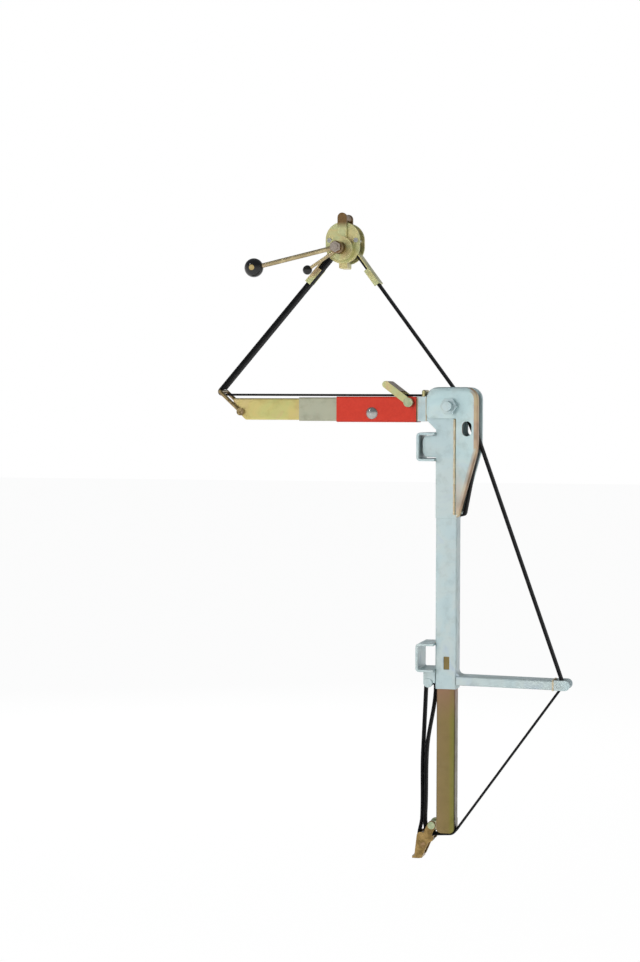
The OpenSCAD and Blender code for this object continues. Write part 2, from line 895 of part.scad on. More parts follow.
module axle_nuts() {
    color("#bfc6c8")
        for (side = [0, 1]) mirror([0, side, 0])
            difference() {
                translate([axle[0], cheek_out + axle_nut_t, axle[1]]) rotate([90, 0, 0])
                    cylinder(r = axle_r + 8, h = axle_nut_t, $fn = 6);
                rod_y(axle, axle_r + run, 0, cheek_out + axle_nut_t + past);
            }
}

module frame_roller() {
    drum_half = strap_w / 2 + 2;
    color("dimgray") difference() {
        union() {
            rod_y(axle, frame_roller_r, -drum_half - roller_flange_t, drum_half + roller_flange_t);
            for (side = [0, 1]) mirror([0, side, 0])
                rod_y(axle, roller_flange_r, drum_half, drum_half + roller_flange_t);
        }
        rod_y(axle, axle_r + 2 + run, -cheek_out, cheek_out);
    }
}

module roller_bushes() {
    color("peru")
        for (side = [0, 1]) mirror([0, side, 0])
            difference() {
                rod_y(axle, axle_r + 2, cheek_in - seat - 18, cheek_in - seat);
                rod_y(axle, axle_r + run, 0, cheek_out);
            }
}

module lip_bar() {
    color("#bfc6c8") rod_y(lip, lip_r, -cheek_in, cheek_in);
}

module anchor_pin() {
    color("#bfc6c8") rod_y(anchor, anchor_r, -flange_in, flange_in);
}

// Post and pads

module post_tube() {
    color("#c3cbd0") difference() {
        tube_z(post_bottom_z, post_top, post_half, post_wall);
        translate([window[0], -post_half, window[1]])
            cube([window_w, 4 * post_wall, window_h], center = true);
    }
}

// C-shaped bent pad, open towards the post
module pad(top_z) {
    bend = 8;
    color("#c3cbd0") plate_y(-pad_depth / 2, pad_depth / 2)
        translate([0, top_z - pad_h / 2]) difference() {
            union() {
                translate([pad_face + bend, -pad_h / 2]) square([post_left - pad_face - bend, pad_h]);
                translate([pad_face, -pad_h / 2 + bend]) square([bend, pad_h - 2 * bend]);
                for (side = [-1, 1]) translate([pad_face + bend, side * (pad_h / 2 - bend)]) circle(bend);
            }
            translate([pad_face + bend, -pad_h / 2 + pad_t])
                square([post_left - pad_face, pad_h - 2 * pad_t]);
            translate([pad_face + pad_t, -pad_h / 2 + bend]) square([bend, pad_h - 2 * bend]);
            for (side = [-1, 1])
                translate([pad_face + bend, side * (pad_h / 2 - bend)]) circle(bend - pad_t);
        }
}

module upper_pad() {
    pad(upper_pad_z);
}

module lower_pad() {
    pad(lower_pad_z);
}

module pad_lugs() {
    lug_r = lug_pin_r + 5;
    color("#c3cbd0") plates_y(lug_in, lug_in + lug_t)
        difference() {
            union() {
                translate(lug_pin) circle(lug_r);
                translate([lug_pin[0] - lug_r, lug_pin[1]]) square([post_left - touch - lug_pin[0] + lug_r, lug_drop]);
            }
            translate(lug_pin) circle(lug_pin_r + touch);
        }
}

module pad_pin() {
    color("#d5d9d8") {
        rod_y(lug_pin, lug_pin_r, -lug_in - lug_t - 0.2, lug_in + lug_t + 0.2);
        for (side = [0, 1]) mirror([0, side, 0])
            rod_y(lug_pin, lug_head_r, lug_in + lug_t, lug_in + lug_t + 3);
    }
}

module strap_clamp() {
    left = clamp_mid - strap_half - seat;
    color("#c3cbd0") {
        translate([left - clamp_t, -clamp_half, post_bottom_z + clamp_rise])
            cube([clamp_t, 2 * clamp_half, clamp_h]);
        for (side = [0, 1]) mirror([0, side, 0])
            translate([left, strap_w / 2 + clamp_side, post_bottom_z + clamp_rise])
                cube([post_left - left, clamp_wing, clamp_h]);
    }
}

// Outrigger

module outrigger() {
    length = prong_start - post_right;
    room = 3 * outrigger_h;
    droop_z = outrigger_z + (outrigger_x - post_right) * tan(outrigger_droop);
    color("#c3cbd0") intersection() {
        translate([post_right, 0, droop_z]) rotate([0, 90 + outrigger_droop, 0])
            translate([0, 0, -past]) linear_extrude(length + past)
                tube_outline(outrigger_h, outrigger_depth, outrigger_wall, 4);
        translate([post_right, -outrigger_depth, outrigger_z - room])
            cube([length + room, 2 * outrigger_depth, 2 * room]);
    }
}

module post_gusset() {
    droop_z = outrigger_z + (outrigger_x - post_right) * tan(outrigger_droop);
    top = droop_z + outrigger_h / 2 / cos(outrigger_droop) + touch;
    size = 10;
    color("#c3cbd0") plate_y(-post_half + 2, post_half - 2)
        difference() {
            translate([post_right, top]) square(size);
            translate([post_right + size, top + size]) circle(size);
        }
}

module outrigger_fork() {
    color("#c3cbd0") plates_y(prong_in, prong_in + prong_t)
        difference() {
            union() {
                translate([prong_start + seat, outrigger_z - prong_h / 2 + eps])
                    square([prong_end - prong_h / 2 - prong_start - seat, prong_h - 2 * eps]);
                translate([prong_end - prong_h / 2, outrigger_z]) circle(d = prong_h);
            }
            translate(outrigger_pin) circle(outrigger_pin_r + touch);
        }
}

module outrigger_pin_rod() {
    color("#bfc6c8") rod_y(outrigger_pin, outrigger_pin_r, -prong_in - prong_t, prong_in + prong_t);
}

// Foot and bottom hook

module foot_tube() {
    top = post_bottom_z + post_lap;
    bottom = foot_bottom_z + foot_cap_h;
    color("#b9a35c") tube_z(bottom, top, foot_half, foot_wall);
}

module foot_cap() {
    color("#b9a35c") plate_y(-foot_half, foot_half) {
        translate([foot_left, foot_bottom_z + foot_r]) square([foot_side, foot_cap_h - foot_r]);
        translate([foot_left + foot_r, foot_bottom_z]) square([foot_side - 2 * foot_r, foot_cap_h]);
        for (side = [-1, 1])
            translate([post_x + side * (foot_half - foot_r), foot_bottom_z + foot_r]) circle(foot_r);
    }
}

module hook_lugs() {
    lug_r = hook_pin_r + 4;
    color("#b7a767") plates_y(hook_lug_in, hook_lug_in + hook_lug_t)
        difference() {
            union() {
                translate(hook_pivot) circle(lug_r);
                translate(hook_pivot - [0, lug_r]) square([hook_reach, 2 * lug_r]);
            }
            translate(hook_pivot) circle(hook_pin_r + touch);
        }
}

module hook_pivot_pin() {
    color("#9fb083") {
        rod_y(hook_pivot, hook_pin_r, -hook_in - hook_t - 2, hook_in + hook_t + 2);
        for (side = [0, 1]) mirror([0, side, 0])
            rod_y(hook_pivot, hook_pin_r + 3, hook_in + hook_t + seat, hook_in + hook_t + 3);
    }
}

module bottom_hook() {
    hook_out = hook_in + hook_t;
    color("#a8894f") {
        plates_y(hook_in, hook_out)
            difference() {
                union() {
                    hull() {
                        translate(hook_pivot) circle(hook_pin_r + 4, $fn = 32);
                        translate(claw) circle(claw_r, $fn = 32);
                    }
                    hull() {
                        translate(hook_end_pin) circle(hook_end_pin_r + 4, $fn = 32);
                        translate((hook_pivot + claw) / 2) circle(claw_r, $fn = 32);
                    }
                    hull() {
                        translate(hook_strap_pin) circle(hook_strap_pin_r + 3.5, $fn = 32);
                        translate(claw) circle(claw_r - eps, $fn = 32);
                    }
                }
                translate(hook_pivot) circle(hook_pin_r + run);
            }
        plate_y(-hook_in, hook_in)
            translate([claw[0] - claw_reach, claw[1] - claw_r]) square([claw_reach + 6, 5]);
        plates_y(hook_in, hook_out)
            translate([claw[0] - claw_reach, claw[1] - claw_r]) square([claw_reach, 5]);
    }
}

module hook_pins() {
    color("#9fb083") {
        rod_y(hook_strap_pin, hook_strap_pin_r, -hook_in, hook_in);
        rod_y(hook_end_pin, hook_end_pin_r, -hook_in, hook_in);
    }
}

head_front_plate();
head_back_plate();
lifting_stirrup();
drive_shaft();
drive_roller();
shaft_bushes();
head_ties();
head_screws();
bottom_block();
left_guide();
right_guide();
brake_housing();
brake_disc();
brake_lining();
brake_nut();
brake_rod();
brake_ball();
crank_hub();
crank_rod();
crank_ball();
crank_insert();
crank_nut();
shaft_collar();
lifting_strap();
hook_strap();
arm_tube();
arm_end_cap();
tip_bail();
arm_sleeve();
arm_cover();
arm_root();
stop_bolt();
strap_keeper();
strap_lever();
lever_stubs();
front_cheek();
back_cheek();
side_plates();
axle_bolt();
axle_nuts();
frame_roller();
roller_bushes();
lip_bar();
anchor_pin();
post_tube();
post_gusset();
upper_pad();
lower_pad();
pad_lugs();
pad_pin();
strap_clamp();
outrigger();
outrigger_fork();
outrigger_pin_rod();
foot_tube();
foot_cap();
hook_lugs();
hook_pivot_pin();
bottom_hook();
hook_pins();
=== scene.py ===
# %% [markdown]
# # A drum lifter
# The lifter is plated steel, red paint and black webbing. The solids come from the part's own
# frame, already at their real size, so this lesson only dresses them: it softens their edges,
# weaves the straps, lays the welds and gives each metal the finish that it has on the real thing.

# %% Load the frame
import json
import math

import bmesh
import bpy
from mathutils import Matrix, Vector


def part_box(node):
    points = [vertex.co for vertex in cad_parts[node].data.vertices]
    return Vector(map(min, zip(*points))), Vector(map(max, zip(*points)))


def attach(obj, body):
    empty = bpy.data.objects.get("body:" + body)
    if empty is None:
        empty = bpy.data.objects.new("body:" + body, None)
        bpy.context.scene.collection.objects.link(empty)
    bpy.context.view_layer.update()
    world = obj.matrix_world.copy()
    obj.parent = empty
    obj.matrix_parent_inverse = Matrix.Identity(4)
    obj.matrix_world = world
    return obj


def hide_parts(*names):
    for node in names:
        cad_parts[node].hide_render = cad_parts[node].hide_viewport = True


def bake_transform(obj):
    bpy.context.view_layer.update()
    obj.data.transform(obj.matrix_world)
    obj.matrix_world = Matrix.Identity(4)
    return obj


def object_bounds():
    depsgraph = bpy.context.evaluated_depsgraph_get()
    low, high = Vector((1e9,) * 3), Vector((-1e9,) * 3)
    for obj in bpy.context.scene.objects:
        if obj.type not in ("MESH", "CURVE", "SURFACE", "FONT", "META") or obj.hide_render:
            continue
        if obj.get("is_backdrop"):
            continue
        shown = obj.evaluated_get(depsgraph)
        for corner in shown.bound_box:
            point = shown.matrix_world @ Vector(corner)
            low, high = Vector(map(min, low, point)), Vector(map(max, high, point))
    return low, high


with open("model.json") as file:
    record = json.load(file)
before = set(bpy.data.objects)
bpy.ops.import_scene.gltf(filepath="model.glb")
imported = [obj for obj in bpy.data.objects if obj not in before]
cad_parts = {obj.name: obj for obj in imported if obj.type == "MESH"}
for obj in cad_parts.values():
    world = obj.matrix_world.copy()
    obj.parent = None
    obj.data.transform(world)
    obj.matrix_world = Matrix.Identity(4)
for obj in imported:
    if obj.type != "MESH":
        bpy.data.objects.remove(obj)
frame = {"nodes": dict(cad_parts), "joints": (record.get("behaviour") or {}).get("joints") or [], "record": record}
cad_low, cad_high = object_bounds()
MM = 0.001
record = frame["record"]
body_of = {name: body for body, names in record["behaviour"]["bodies"].items() for name in names}

# %% [markdown]
# ## Camera
# The view is from a little to the right of the front, almost five metres away. Matching known points of
# the lifter to their places in a picture of 640 by 962 pixels gives the stand, the aim and the lens. A lens
# set by eye would do for a pretty picture, but then the proportions could not be compared.

# %% Camera
PICTURE_H = 962
FOCAL_PX = 2248
STAND = Vector((1.0816, -4.6553, -0.3998))
AZIMUTH, PITCH, ROLL = (math.radians(angle) for angle in (13.705, -1.881, 0.18))

lens = bpy.data.cameras.new("camera")
lens.sensor_fit = "VERTICAL"
lens.sensor_height = 24
lens.lens = lens.sensor_height * FOCAL_PX / PICTURE_H
camera = bpy.data.objects.new("camera", lens)
aim = (Matrix.Rotation(AZIMUTH, 4, "Z") @ Matrix.Rotation(math.pi / 2 + PITCH, 4, "X")
       @ Matrix.Rotation(ROLL, 4, "Z"))
camera.matrix_world = Matrix.Translation(STAND) @ aim
bpy.context.scene.collection.objects.link(camera)
bpy.context.scene.camera = camera
print("lens:", round(lens.lens, 1), "mm")

# %% [markdown]
# ## Tools for materials
# Every material is a small tree of nodes. One function adds a node with its settings and links, one turns
# a hex colour into the linear values that the shader needs, and one starts a material. They could be made by
# hand in the Shader Editor, but a script gives the same tree each time. Constants go straight on the shader's
# own sockets, so that an exported copy keeps them.

# %% Tools for materials


def colour(code):
    """Linear red, green, blue and alpha of an sRGB hex colour."""
    parts = [int(code[i:i + 2], 16) / 255 for i in (1, 3, 5)]
    return [p / 12.92 if p <= 0.04045 else ((p + 0.055) / 1.055) ** 2.4 for p in parts] + [1.0]


def add(tree, kind, inputs=None, stops=(), **settings):
    """Adds a node. A socket given as an input is linked, anything else is set, and stops colour a ramp."""
    made = tree.nodes.new(kind)
    for key, value in settings.items():
        setattr(made, key, value)
    for key, value in (inputs or {}).items():
        if isinstance(value, bpy.types.NodeSocket):
            tree.links.new(value, made.inputs[key])
        else:
            made.inputs[key].default_value = value
    if stops:
        elements = made.color_ramp.elements
        while len(elements) < len(stops):
            elements.new(0.5)
        for element, (position, code) in zip(elements, stops):
            element.position = position
            element.color = colour(code)
    return made


def start(name, **constants):
    """A new material with an empty Principled shader, whose constants are set on its own sockets."""
    material = bpy.data.materials.new(name)
    material.use_nodes = True
    tree = material.node_tree
    tree.nodes.clear()
    shader = add(tree, "ShaderNodeBsdfPrincipled")
    add(tree, "ShaderNodeOutputMaterial", {"Surface": shader.outputs["BSDF"]})
    for key, value in constants.items():
        shader.inputs[key.replace("_", " ")].default_value = value
    return material, tree, shader


def per(size_mm):
    """Texture scale for a pattern of a real size, because Object coordinates are in metres."""
    return 1 / (size_mm * MM)


print("a 70 mm patch has the texture scale", round(per(70), 1))

# %% [markdown]
# ## Zinc plate
# Most of the steel is zinc plated. Yellow passivation leaves a thin film whose colour drifts between gold,
# green and pink in patches as wide as a hand, and clear passivation leaves a pale blue grey. Both are satin:
# a metal with a medium roughness. A single colour would look like paint, so a wide noise drifts through the
# hues of the film, and a finer one lays dirt in the low spots. The grain of rolled steel under the plate is
# finer than a picture can show, so its bump is drawn coarser. Drawn bar is smooth and has none.

# %% Zinc plate
FILM_PATCH = 70
FILM_FROM, FILM_SPAN = 0.28, 0.44
DIRT_SHARE = 0.22
RUB = 22
RUB_LOW, RUB_MID, RUB_HIGH = 0.3, 0.5, 0.7
GRAIN = 3  # real grain is some tenths of a millimetre
GRAIN_DEPTH = 0.1 * MM


def zinc(name, hues, dirt, metallic=0.8, rough=(0.3, 0.46), patch=FILM_PATCH, grain_strength=0.02):
    """Plated steel whose film drifts through the given hues, with a little dirt in the low spots."""
    material, tree, shader = start(name, Metallic=metallic)
    where = add(tree, "ShaderNodeTexCoord").outputs["Object"]
    film = add(tree, "ShaderNodeTexNoise", {
        "Vector": where, "Scale": per(patch), "Detail": 3, "Roughness": 0.55, "Distortion": 0.8})
    share = 1 / (len(hues) - 1)
    tint = add(tree, "ShaderNodeValToRGB", {"Fac": film.outputs["Fac"]},
               [(FILM_FROM + FILM_SPAN * share * i, code) for i, code in enumerate(hues)])
    rub = add(tree, "ShaderNodeTexNoise", {
        "Vector": where, "Scale": per(RUB), "Detail": 5, "Roughness": 0.65})
    soil = add(tree, "ShaderNodeValToRGB", {"Fac": rub.outputs["Fac"]},
               [(RUB_LOW, dirt), (RUB_MID, "#ffffff")])
    mixed = add(tree, "ShaderNodeMix", {
        "Factor": DIRT_SHARE, "A": tint.outputs["Color"], "B": soil.outputs["Color"]},
        data_type="RGBA", blend_type="MULTIPLY")
    tree.links.new(mixed.outputs["Result"], shader.inputs["Base Color"])
    gloss = add(tree, "ShaderNodeMapRange", {
        "Value": rub.outputs["Fac"], "From Min": RUB_LOW, "From Max": RUB_HIGH,
        "To Min": rough[1], "To Max": rough[0]})
    tree.links.new(gloss.outputs["Result"], shader.inputs["Roughness"])
    grain = add(tree, "ShaderNodeTexNoise", {"Vector": where, "Scale": per(GRAIN), "Detail": 2})
    bump = add(tree, "ShaderNodeBump", {
        "Height": grain.outputs["Fac"], "Strength": grain_strength, "Distance": GRAIN_DEPTH})
    tree.links.new(bump.outputs["Normal"], shader.inputs["Normal"])
    return material, tree, shader, mixed


GOLD = ["#d8c096", "#d6cb92", "#c9cc98", "#dcd4a4"]
GOLD_DIRT = "#a08a52"
# Pale gold on pressed plates: a soft sheen with green and straw in it.
gold_plate = zinc("yellow zinc plate", GOLD, GOLD_DIRT, patch=45)[0]
# The arm's long flat side shows the film best: straw, green and pink in wide patches.
arm_plate = zinc("yellow zinc plate, pale", ["#dac290", "#d9c882", "#cfcb84", "#d6c08a"], "#b5a269",
                 patch=90)[0]
# Drawn bar is smooth, so it has a sharper gloss.
rod_plate = zinc("yellow zinc plate on drawn bar", ["#b9a880", "#c4b48c", "#ad9c76", "#bba68e"], "#8d7a54",
                 rough=(0.2, 0.28), patch=40, grain_strength=0.0)[0]
# Turned nuts hold a thick film, which is brown.
brown_plate = zinc("yellow zinc plate, brown", ["#8a7048", "#a08a58", "#7a6640", "#9a7858"], "#5d4c2c",
                   patch=40)[0]
# The hook is rubbed in use, so its film has bright and dark patches.
hook_plate = zinc("yellow zinc plate, rubbed", ["#5f4a29", "#a98c58", "#7c6538", "#b18f6c"], "#3d301a",
                  rough=(0.22, 0.36), patch=26)[0]
# Bent rod is as smooth as drawn bar, and the bend broke its film into small dark and bright patches.
bail_plate = zinc("yellow zinc plate on bent rod", ["#6a5534", "#ad986c", "#756140", "#b89e7c"], "#4d3d22",
                  rough=(0.2, 0.32), patch=16, grain_strength=0.0)[0]
# Small parts that were plated in a barrel came out green.
green_plate = zinc("yellow zinc plate, green", ["#b6c4a0", "#c4c6a2", "#a9b992", "#c8bd9a"], "#7f8a64",
                   patch=16)[0]
# Clear passivation: a pale blue grey, duller than the gold.
silver_plate = zinc("clear zinc plate", ["#bacdd0", "#c0d2d4", "#c6d3d2", "#bccbd4"], "#a7aaa2",
                    metallic=0.5, rough=(0.36, 0.5))[0]
# The sleeve's plate is a dull warm grey, close to matt.
grey_plate = zinc("grey zinc plate", ["#adae96", "#b2b19a", "#b0b29c", "#b4ab98"], "#8d8c7c",
                  metallic=0.5, rough=(0.4, 0.55))[0]
# Turned steel is bare metal: almost all of what it shows is a reflection.
nut_steel = zinc("turned steel, browned", ["#95877c", "#a6988c", "#b0a498", "#8c7d74"], "#6d6058",
                 metallic=0.95, rough=(0.2, 0.28))[0]
bright_steel = zinc("turned steel", ["#a9aaa8", "#b7b7b4", "#bdbdb8", "#aeb0ae"], "#8a8a86",
                    metallic=0.95, rough=(0.22, 0.3))[0]
print("film in patches of", FILM_PATCH, "mm, rubbed in patches of", RUB, "mm")

# %% [markdown]
# ## The foot's plate
# The foot was dipped upright, so its film is not in patches: it is pink where the post rubs it, brown down the
# face and olive towards the right-hand corner, and the corner and the right-hand side are darkened with painted
# shade. Noise can't place such bands, so two ramps along the piece's own X and Z give that drift and that shade.

# %% The foot's plate
# Film bands across the foot; the dark end of the ramp is painted shade on the right-hand corner and side.
STRIPES_AND_SIDE_SHADE = [(0.0, "#907a56"), (0.66, "#8b794c"), (0.8, "#84803a"), (0.93, "#7b803c"), (0.98, "#343220"),
           (1.0, "#3a3826")]
STRIPE_SHARE = 0.7
RUBBED_Z = (-1.06, -0.96)
RUBBED_SHARE = [(0.0, "#000000"), (0.7, "#bbbbbb"), (0.9, "#000000")]
RUBBED_PINK = "#a27468"

# A thick film: brown and olive bands under a satin sheen, with painted shade along the right-hand side.
foot_plate, foot_tree, foot_shader, foot_mix = zinc(
    "yellow zinc plate, olive", ["#8e7952", "#8b7a4c", "#918158", "#867648"], "#6d5c34", patch=110)
spot = add(foot_tree, "ShaderNodeSeparateXYZ", {
    "Vector": add(foot_tree, "ShaderNodeTexCoord").outputs["Object"]})
tube_low, tube_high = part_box("foot_tube")
across = add(foot_tree, "ShaderNodeMapRange", {
    "Value": spot.outputs["X"], "From Min": tube_low[0], "From Max": tube_high[0]})
# Painted shade: the dark end of this ramp darkens the right-hand corner and side.
stripe_and_side_shade = add(foot_tree, "ShaderNodeValToRGB", {"Fac": across.outputs["Result"]}, STRIPES_AND_SIDE_SHADE)
olive = add(foot_tree, "ShaderNodeMix", {
    "Factor": STRIPE_SHARE, "A": foot_mix.outputs["Result"], "B": stripe_and_side_shade.outputs["Color"]},
    data_type="RGBA")
rub_z = add(foot_tree, "ShaderNodeMapRange", {
    "Value": spot.outputs["Z"], "From Min": RUBBED_Z[0], "From Max": RUBBED_Z[1]})
rub_band = add(foot_tree, "ShaderNodeValToRGB", {"Fac": rub_z.outputs["Result"]}, RUBBED_SHARE)
pink = add(foot_tree, "ShaderNodeMix", {
    "Factor": rub_band.outputs["Color"], "A": olive.outputs["Result"], "B": colour(RUBBED_PINK)},
    data_type="RGBA")
foot_tree.links.new(pink.outputs["Result"], foot_shader.inputs["Base Color"])
print("foot striped over", round((tube_high[0] - tube_low[0]) / MM, 1), "mm")

# %% [markdown]
# ## Pressed cheeks
# The cheeks have the same clear plate, and on the front one a warm tan is painted where the sheet is bent to the
# right: a painted reflection on the faces that turn to the right. Painting that by hand would need a picture, so
# the surface's own normal finds the bend, and its own depth the front cheek.

# %% Pressed cheeks
BEND_FROM, BEND_TO = 0.12, 0.4
BEND_REFLECTION_PATCH = 45
PAINTED_BEND_REFLECTION = [(0.35, "#a58d74"), (0.5, "#c9a98c"), (0.65, "#d3bd94")]

# Pressed sheet: the same pale satin, a little bluer, with a painted tan reflection on the bend.
pressed_plate, press_tree, press_shader, press_mix = zinc(
    "clear zinc plate, pressed", ["#bad2d4", "#c2d8d9", "#c8d9d8", "#bccfd8"], "#a7aaa2",
    metallic=0.5, rough=(0.36, 0.5))
at = add(press_tree, "ShaderNodeTexCoord")
facing = add(press_tree, "ShaderNodeSeparateXYZ", {"Vector": at.outputs["Normal"]})
stand = add(press_tree, "ShaderNodeSeparateXYZ", {"Vector": at.outputs["Object"]})
# Painted reflection: the tan share grows on the front cheek's faces that turn to the right.
to_side = add(press_tree, "ShaderNodeMapRange",
              {"Value": facing.outputs["X"], "From Min": BEND_FROM, "From Max": BEND_TO})
in_front = add(press_tree, "ShaderNodeMath", {0: stand.outputs["Y"], 1: 0.0}, operation="LESS_THAN")
rubbed = add(press_tree, "ShaderNodeMath", {0: to_side.outputs["Result"], 1: in_front.outputs[0]},
             operation="MULTIPLY")
bend_reflection_noise = add(press_tree, "ShaderNodeTexNoise", {
    "Vector": at.outputs["Object"], "Scale": per(BEND_REFLECTION_PATCH), "Detail": 2})
bend_reflection_tint = add(press_tree, "ShaderNodeValToRGB", {"Fac": bend_reflection_noise.outputs["Fac"]}, PAINTED_BEND_REFLECTION)
# Mixes the painted tan reflection into the plate's colour.
tan = add(press_tree, "ShaderNodeMix", {
    "Factor": rubbed.outputs[0], "A": press_mix.outputs["Result"], "B": bend_reflection_tint.outputs["Color"]},
    data_type="RGBA")
press_tree.links.new(tan.outputs["Result"], press_shader.inputs["Base Color"])
print("pressed plate:", len(press_tree.nodes), "nodes")

# %% [markdown]
# ## Lever and stirrup
# The gold plate is darkened to brown with painted shade: on the lever's edges and bar, which turn away from the
# front, not on its flanks, and on the stirrup's lifting bar, which faces up, not on its legs. The lever's own
# normal and the stirrup's own height find those places.

# %% Lever and stirrup
# Painted shade: the brown on the lever's edges and bar and on the stirrup's top bar.
PAINTED_SHADE_BROWN = "#7d6240"
FLANK_FACING = (0.9, 0.5)
BAR_SHADE_Z = (-24 * MM, -10 * MM)


def browned(name, coordinate, axis, between, absolute=False):
    """Gold plate darkened to brown with painted shade as one of the piece's own coordinates goes from one value to
    another.
    """
    material, tree, shader, mix = zinc(name, GOLD, GOLD_DIRT, patch=45)
    parts = add(tree, "ShaderNodeSeparateXYZ", {
        "Vector": add(tree, "ShaderNodeTexCoord").outputs[coordinate]})
    value = parts.outputs[axis]
    if absolute:
        value = add(tree, "ShaderNodeMath", {0: value}, operation="ABSOLUTE").outputs[0]
    share = add(tree, "ShaderNodeMapRange", {
        "Value": value, "From Min": between[0], "From Max": between[1]})
    # Mixes the painted brown shade into the gold by that share.
    film = add(tree, "ShaderNodeMix", {
        "Factor": share.outputs["Result"], "A": mix.outputs["Result"], "B": colour(PAINTED_SHADE_BROWN)},
        data_type="RGBA")
    tree.links.new(film.outputs["Result"], shader.inputs["Base Color"])
    return material


# Gold with painted shade: a lit gold flank, and a dark brown edge and bar.
lever_plate = browned("yellow zinc plate, lever", "Normal", "Y", FLANK_FACING, absolute=True)
stirrup_plate = browned("yellow zinc plate, stirrup", "Object", "Z", BAR_SHADE_Z)
print("browned by place:", lever_plate.name, "and", stirrup_plate.name)

# %% [markdown]
# ## Paint, phenolic, brass, bronze and lining
# The cover is sprayed with a semi-gloss red that lies in a faint orange peel. The balls are moulded phenolic,
# black and polished, and the small trims are turned brass and sintered bronze. All are one colour with a fine
# unevenness, so one function makes them: two close colours in a noise, and the same noise as a bump.

# %% Paint, phenolic, brass, bronze and lining
# Sizes in millimetres. Turning marks, grain and grit are drawn coarser than real, so that they show.
PEEL = 5
MOULD_FLOW = 9
TURNING = 2
SINTER_GRAIN = 0.8
LINING_GRIT = 2.5
RELIEF = 0.1 * MM


def plain(name, light, dark, pattern_mm, bump_strength, rough, **constants):
    """A finish of two close colours in a fine noise, with the noise as a shallow bump."""
    material, tree, shader = start(name, Roughness=rough, **constants)
    where = add(tree, "ShaderNodeTexCoord").outputs["Object"]
    noise = add(tree, "ShaderNodeTexNoise", {"Vector": where, "Scale": per(pattern_mm), "Detail": 3})
    tint = add(tree, "ShaderNodeValToRGB", {"Fac": noise.outputs["Fac"]}, [(0.35, dark), (0.65, light)])
    tree.links.new(tint.outputs["Color"], shader.inputs["Base Color"])
    bump = add(tree, "ShaderNodeBump", {
        "Height": noise.outputs["Fac"], "Strength": bump_strength, "Distance": RELIEF})
    tree.links.new(bump.outputs["Normal"], shader.inputs["Normal"])
    return material


# Sprayed paint: a clean even red with a broken, soft highlight.
red_paint = plain("red semi-gloss paint", "#c8341f", "#c22f1b", PEEL, 0.05, 0.38, Specular_IOR_Level=0.35)
# Polished phenolic: black with one small sharp highlight.
phenolic = plain("black phenolic", "#121110", "#0a0a09", MOULD_FLOW, 0.03, 0.2, Coat_Weight=0.15)
# Turned brass: a warm metal with a fine unevenness from the lathe.
brass = plain("turned brass", "#dcc78e", "#cdb274", TURNING, 0.08, 0.28, Metallic=1.0)
# Sintered bronze: a dull metal with open grain.
bronze = plain("sintered bronze", "#9c7442", "#80592e", SINTER_GRAIN, 0.2, 0.45, Metallic=0.9)
# Friction lining: matt and gritty.
lining = plain("pressed friction lining", "#5a4234", "#38281f", LINING_GRIT, 0.4, 0.8)
print("one-colour finishes:", ", ".join(m.name for m in (red_paint, phenolic, brass, bronze, lining)))

# %% [markdown]
# ## Webbing
# The straps are woven polyester, with a rib along each bundle of warp threads and slanting picks across. The
# weave follows the strap and not the room, so the pattern reads the strap's own UV map, whose two directions
# are its real length and width in metres.

# %% Webbing
# A real rib is about 2.6 mm wide and a pick under a millimetre. The straps are seen at about 2 mm a pixel,
# so both are drawn coarser: a rib every 16 mm across the strap, and a pick every 28 mm along it.
RIB_DRAWN = 16.336
PICK_DRAWN = 27.646
AXIS_RADIANS, DIAGONAL_RADIANS = 20, 10  # turn of a Wave texture for each unit along an axis or both
WEAVE_DEPTH = 0.5 * MM


def woven(name, light, dark):
    """Black polyester webbing with warp ribs and picks across them."""
    material, tree, shader = start(name, Roughness=0.8, Specular_IOR_Level=0.25)
    cloth = add(tree, "ShaderNodeTexCoord").outputs["UV"]
    ribs = add(tree, "ShaderNodeTexWave", {
        "Vector": cloth, "Scale": 2 * math.pi * per(RIB_DRAWN) / AXIS_RADIANS, "Distortion": 0.4},
        bands_direction="Y", wave_profile="SIN")
    picks = add(tree, "ShaderNodeTexWave", {
        "Vector": cloth, "Scale": 2 * math.pi * per(PICK_DRAWN) / DIAGONAL_RADIANS, "Distortion": 0.8},
        bands_direction="DIAGONAL", wave_profile="SIN")
    weave = add(tree, "ShaderNodeMath", {0: ribs.outputs["Fac"], 1: picks.outputs["Fac"]},
                operation="MULTIPLY")
    tint = add(tree, "ShaderNodeValToRGB", {"Fac": weave.outputs[0]}, [(0.05, dark), (0.8, light)])
    tree.links.new(tint.outputs["Color"], shader.inputs["Base Color"])
    bump = add(tree, "ShaderNodeBump", {
        "Height": weave.outputs[0], "Strength": 0.3, "Distance": WEAVE_DEPTH})
    tree.links.new(bump.outputs["Normal"], shader.inputs["Normal"])
    return material


# Polyester webbing: almost black and matt, with a faint slanting weave.
webbing = woven("black polyester webbing", "#1b1b1d", "#101011")
print("webbing with a rib every", RIB_DRAWN, "mm and a pick every", PICK_DRAWN, "mm")

# %% [markdown]
# ## A finish for each solid
# On the real lifter each piece is cut from one stock and finished in one bath, so each solid has one material.
# They could be set one by one as the pieces are made, but a table shows at a glance which pieces match.

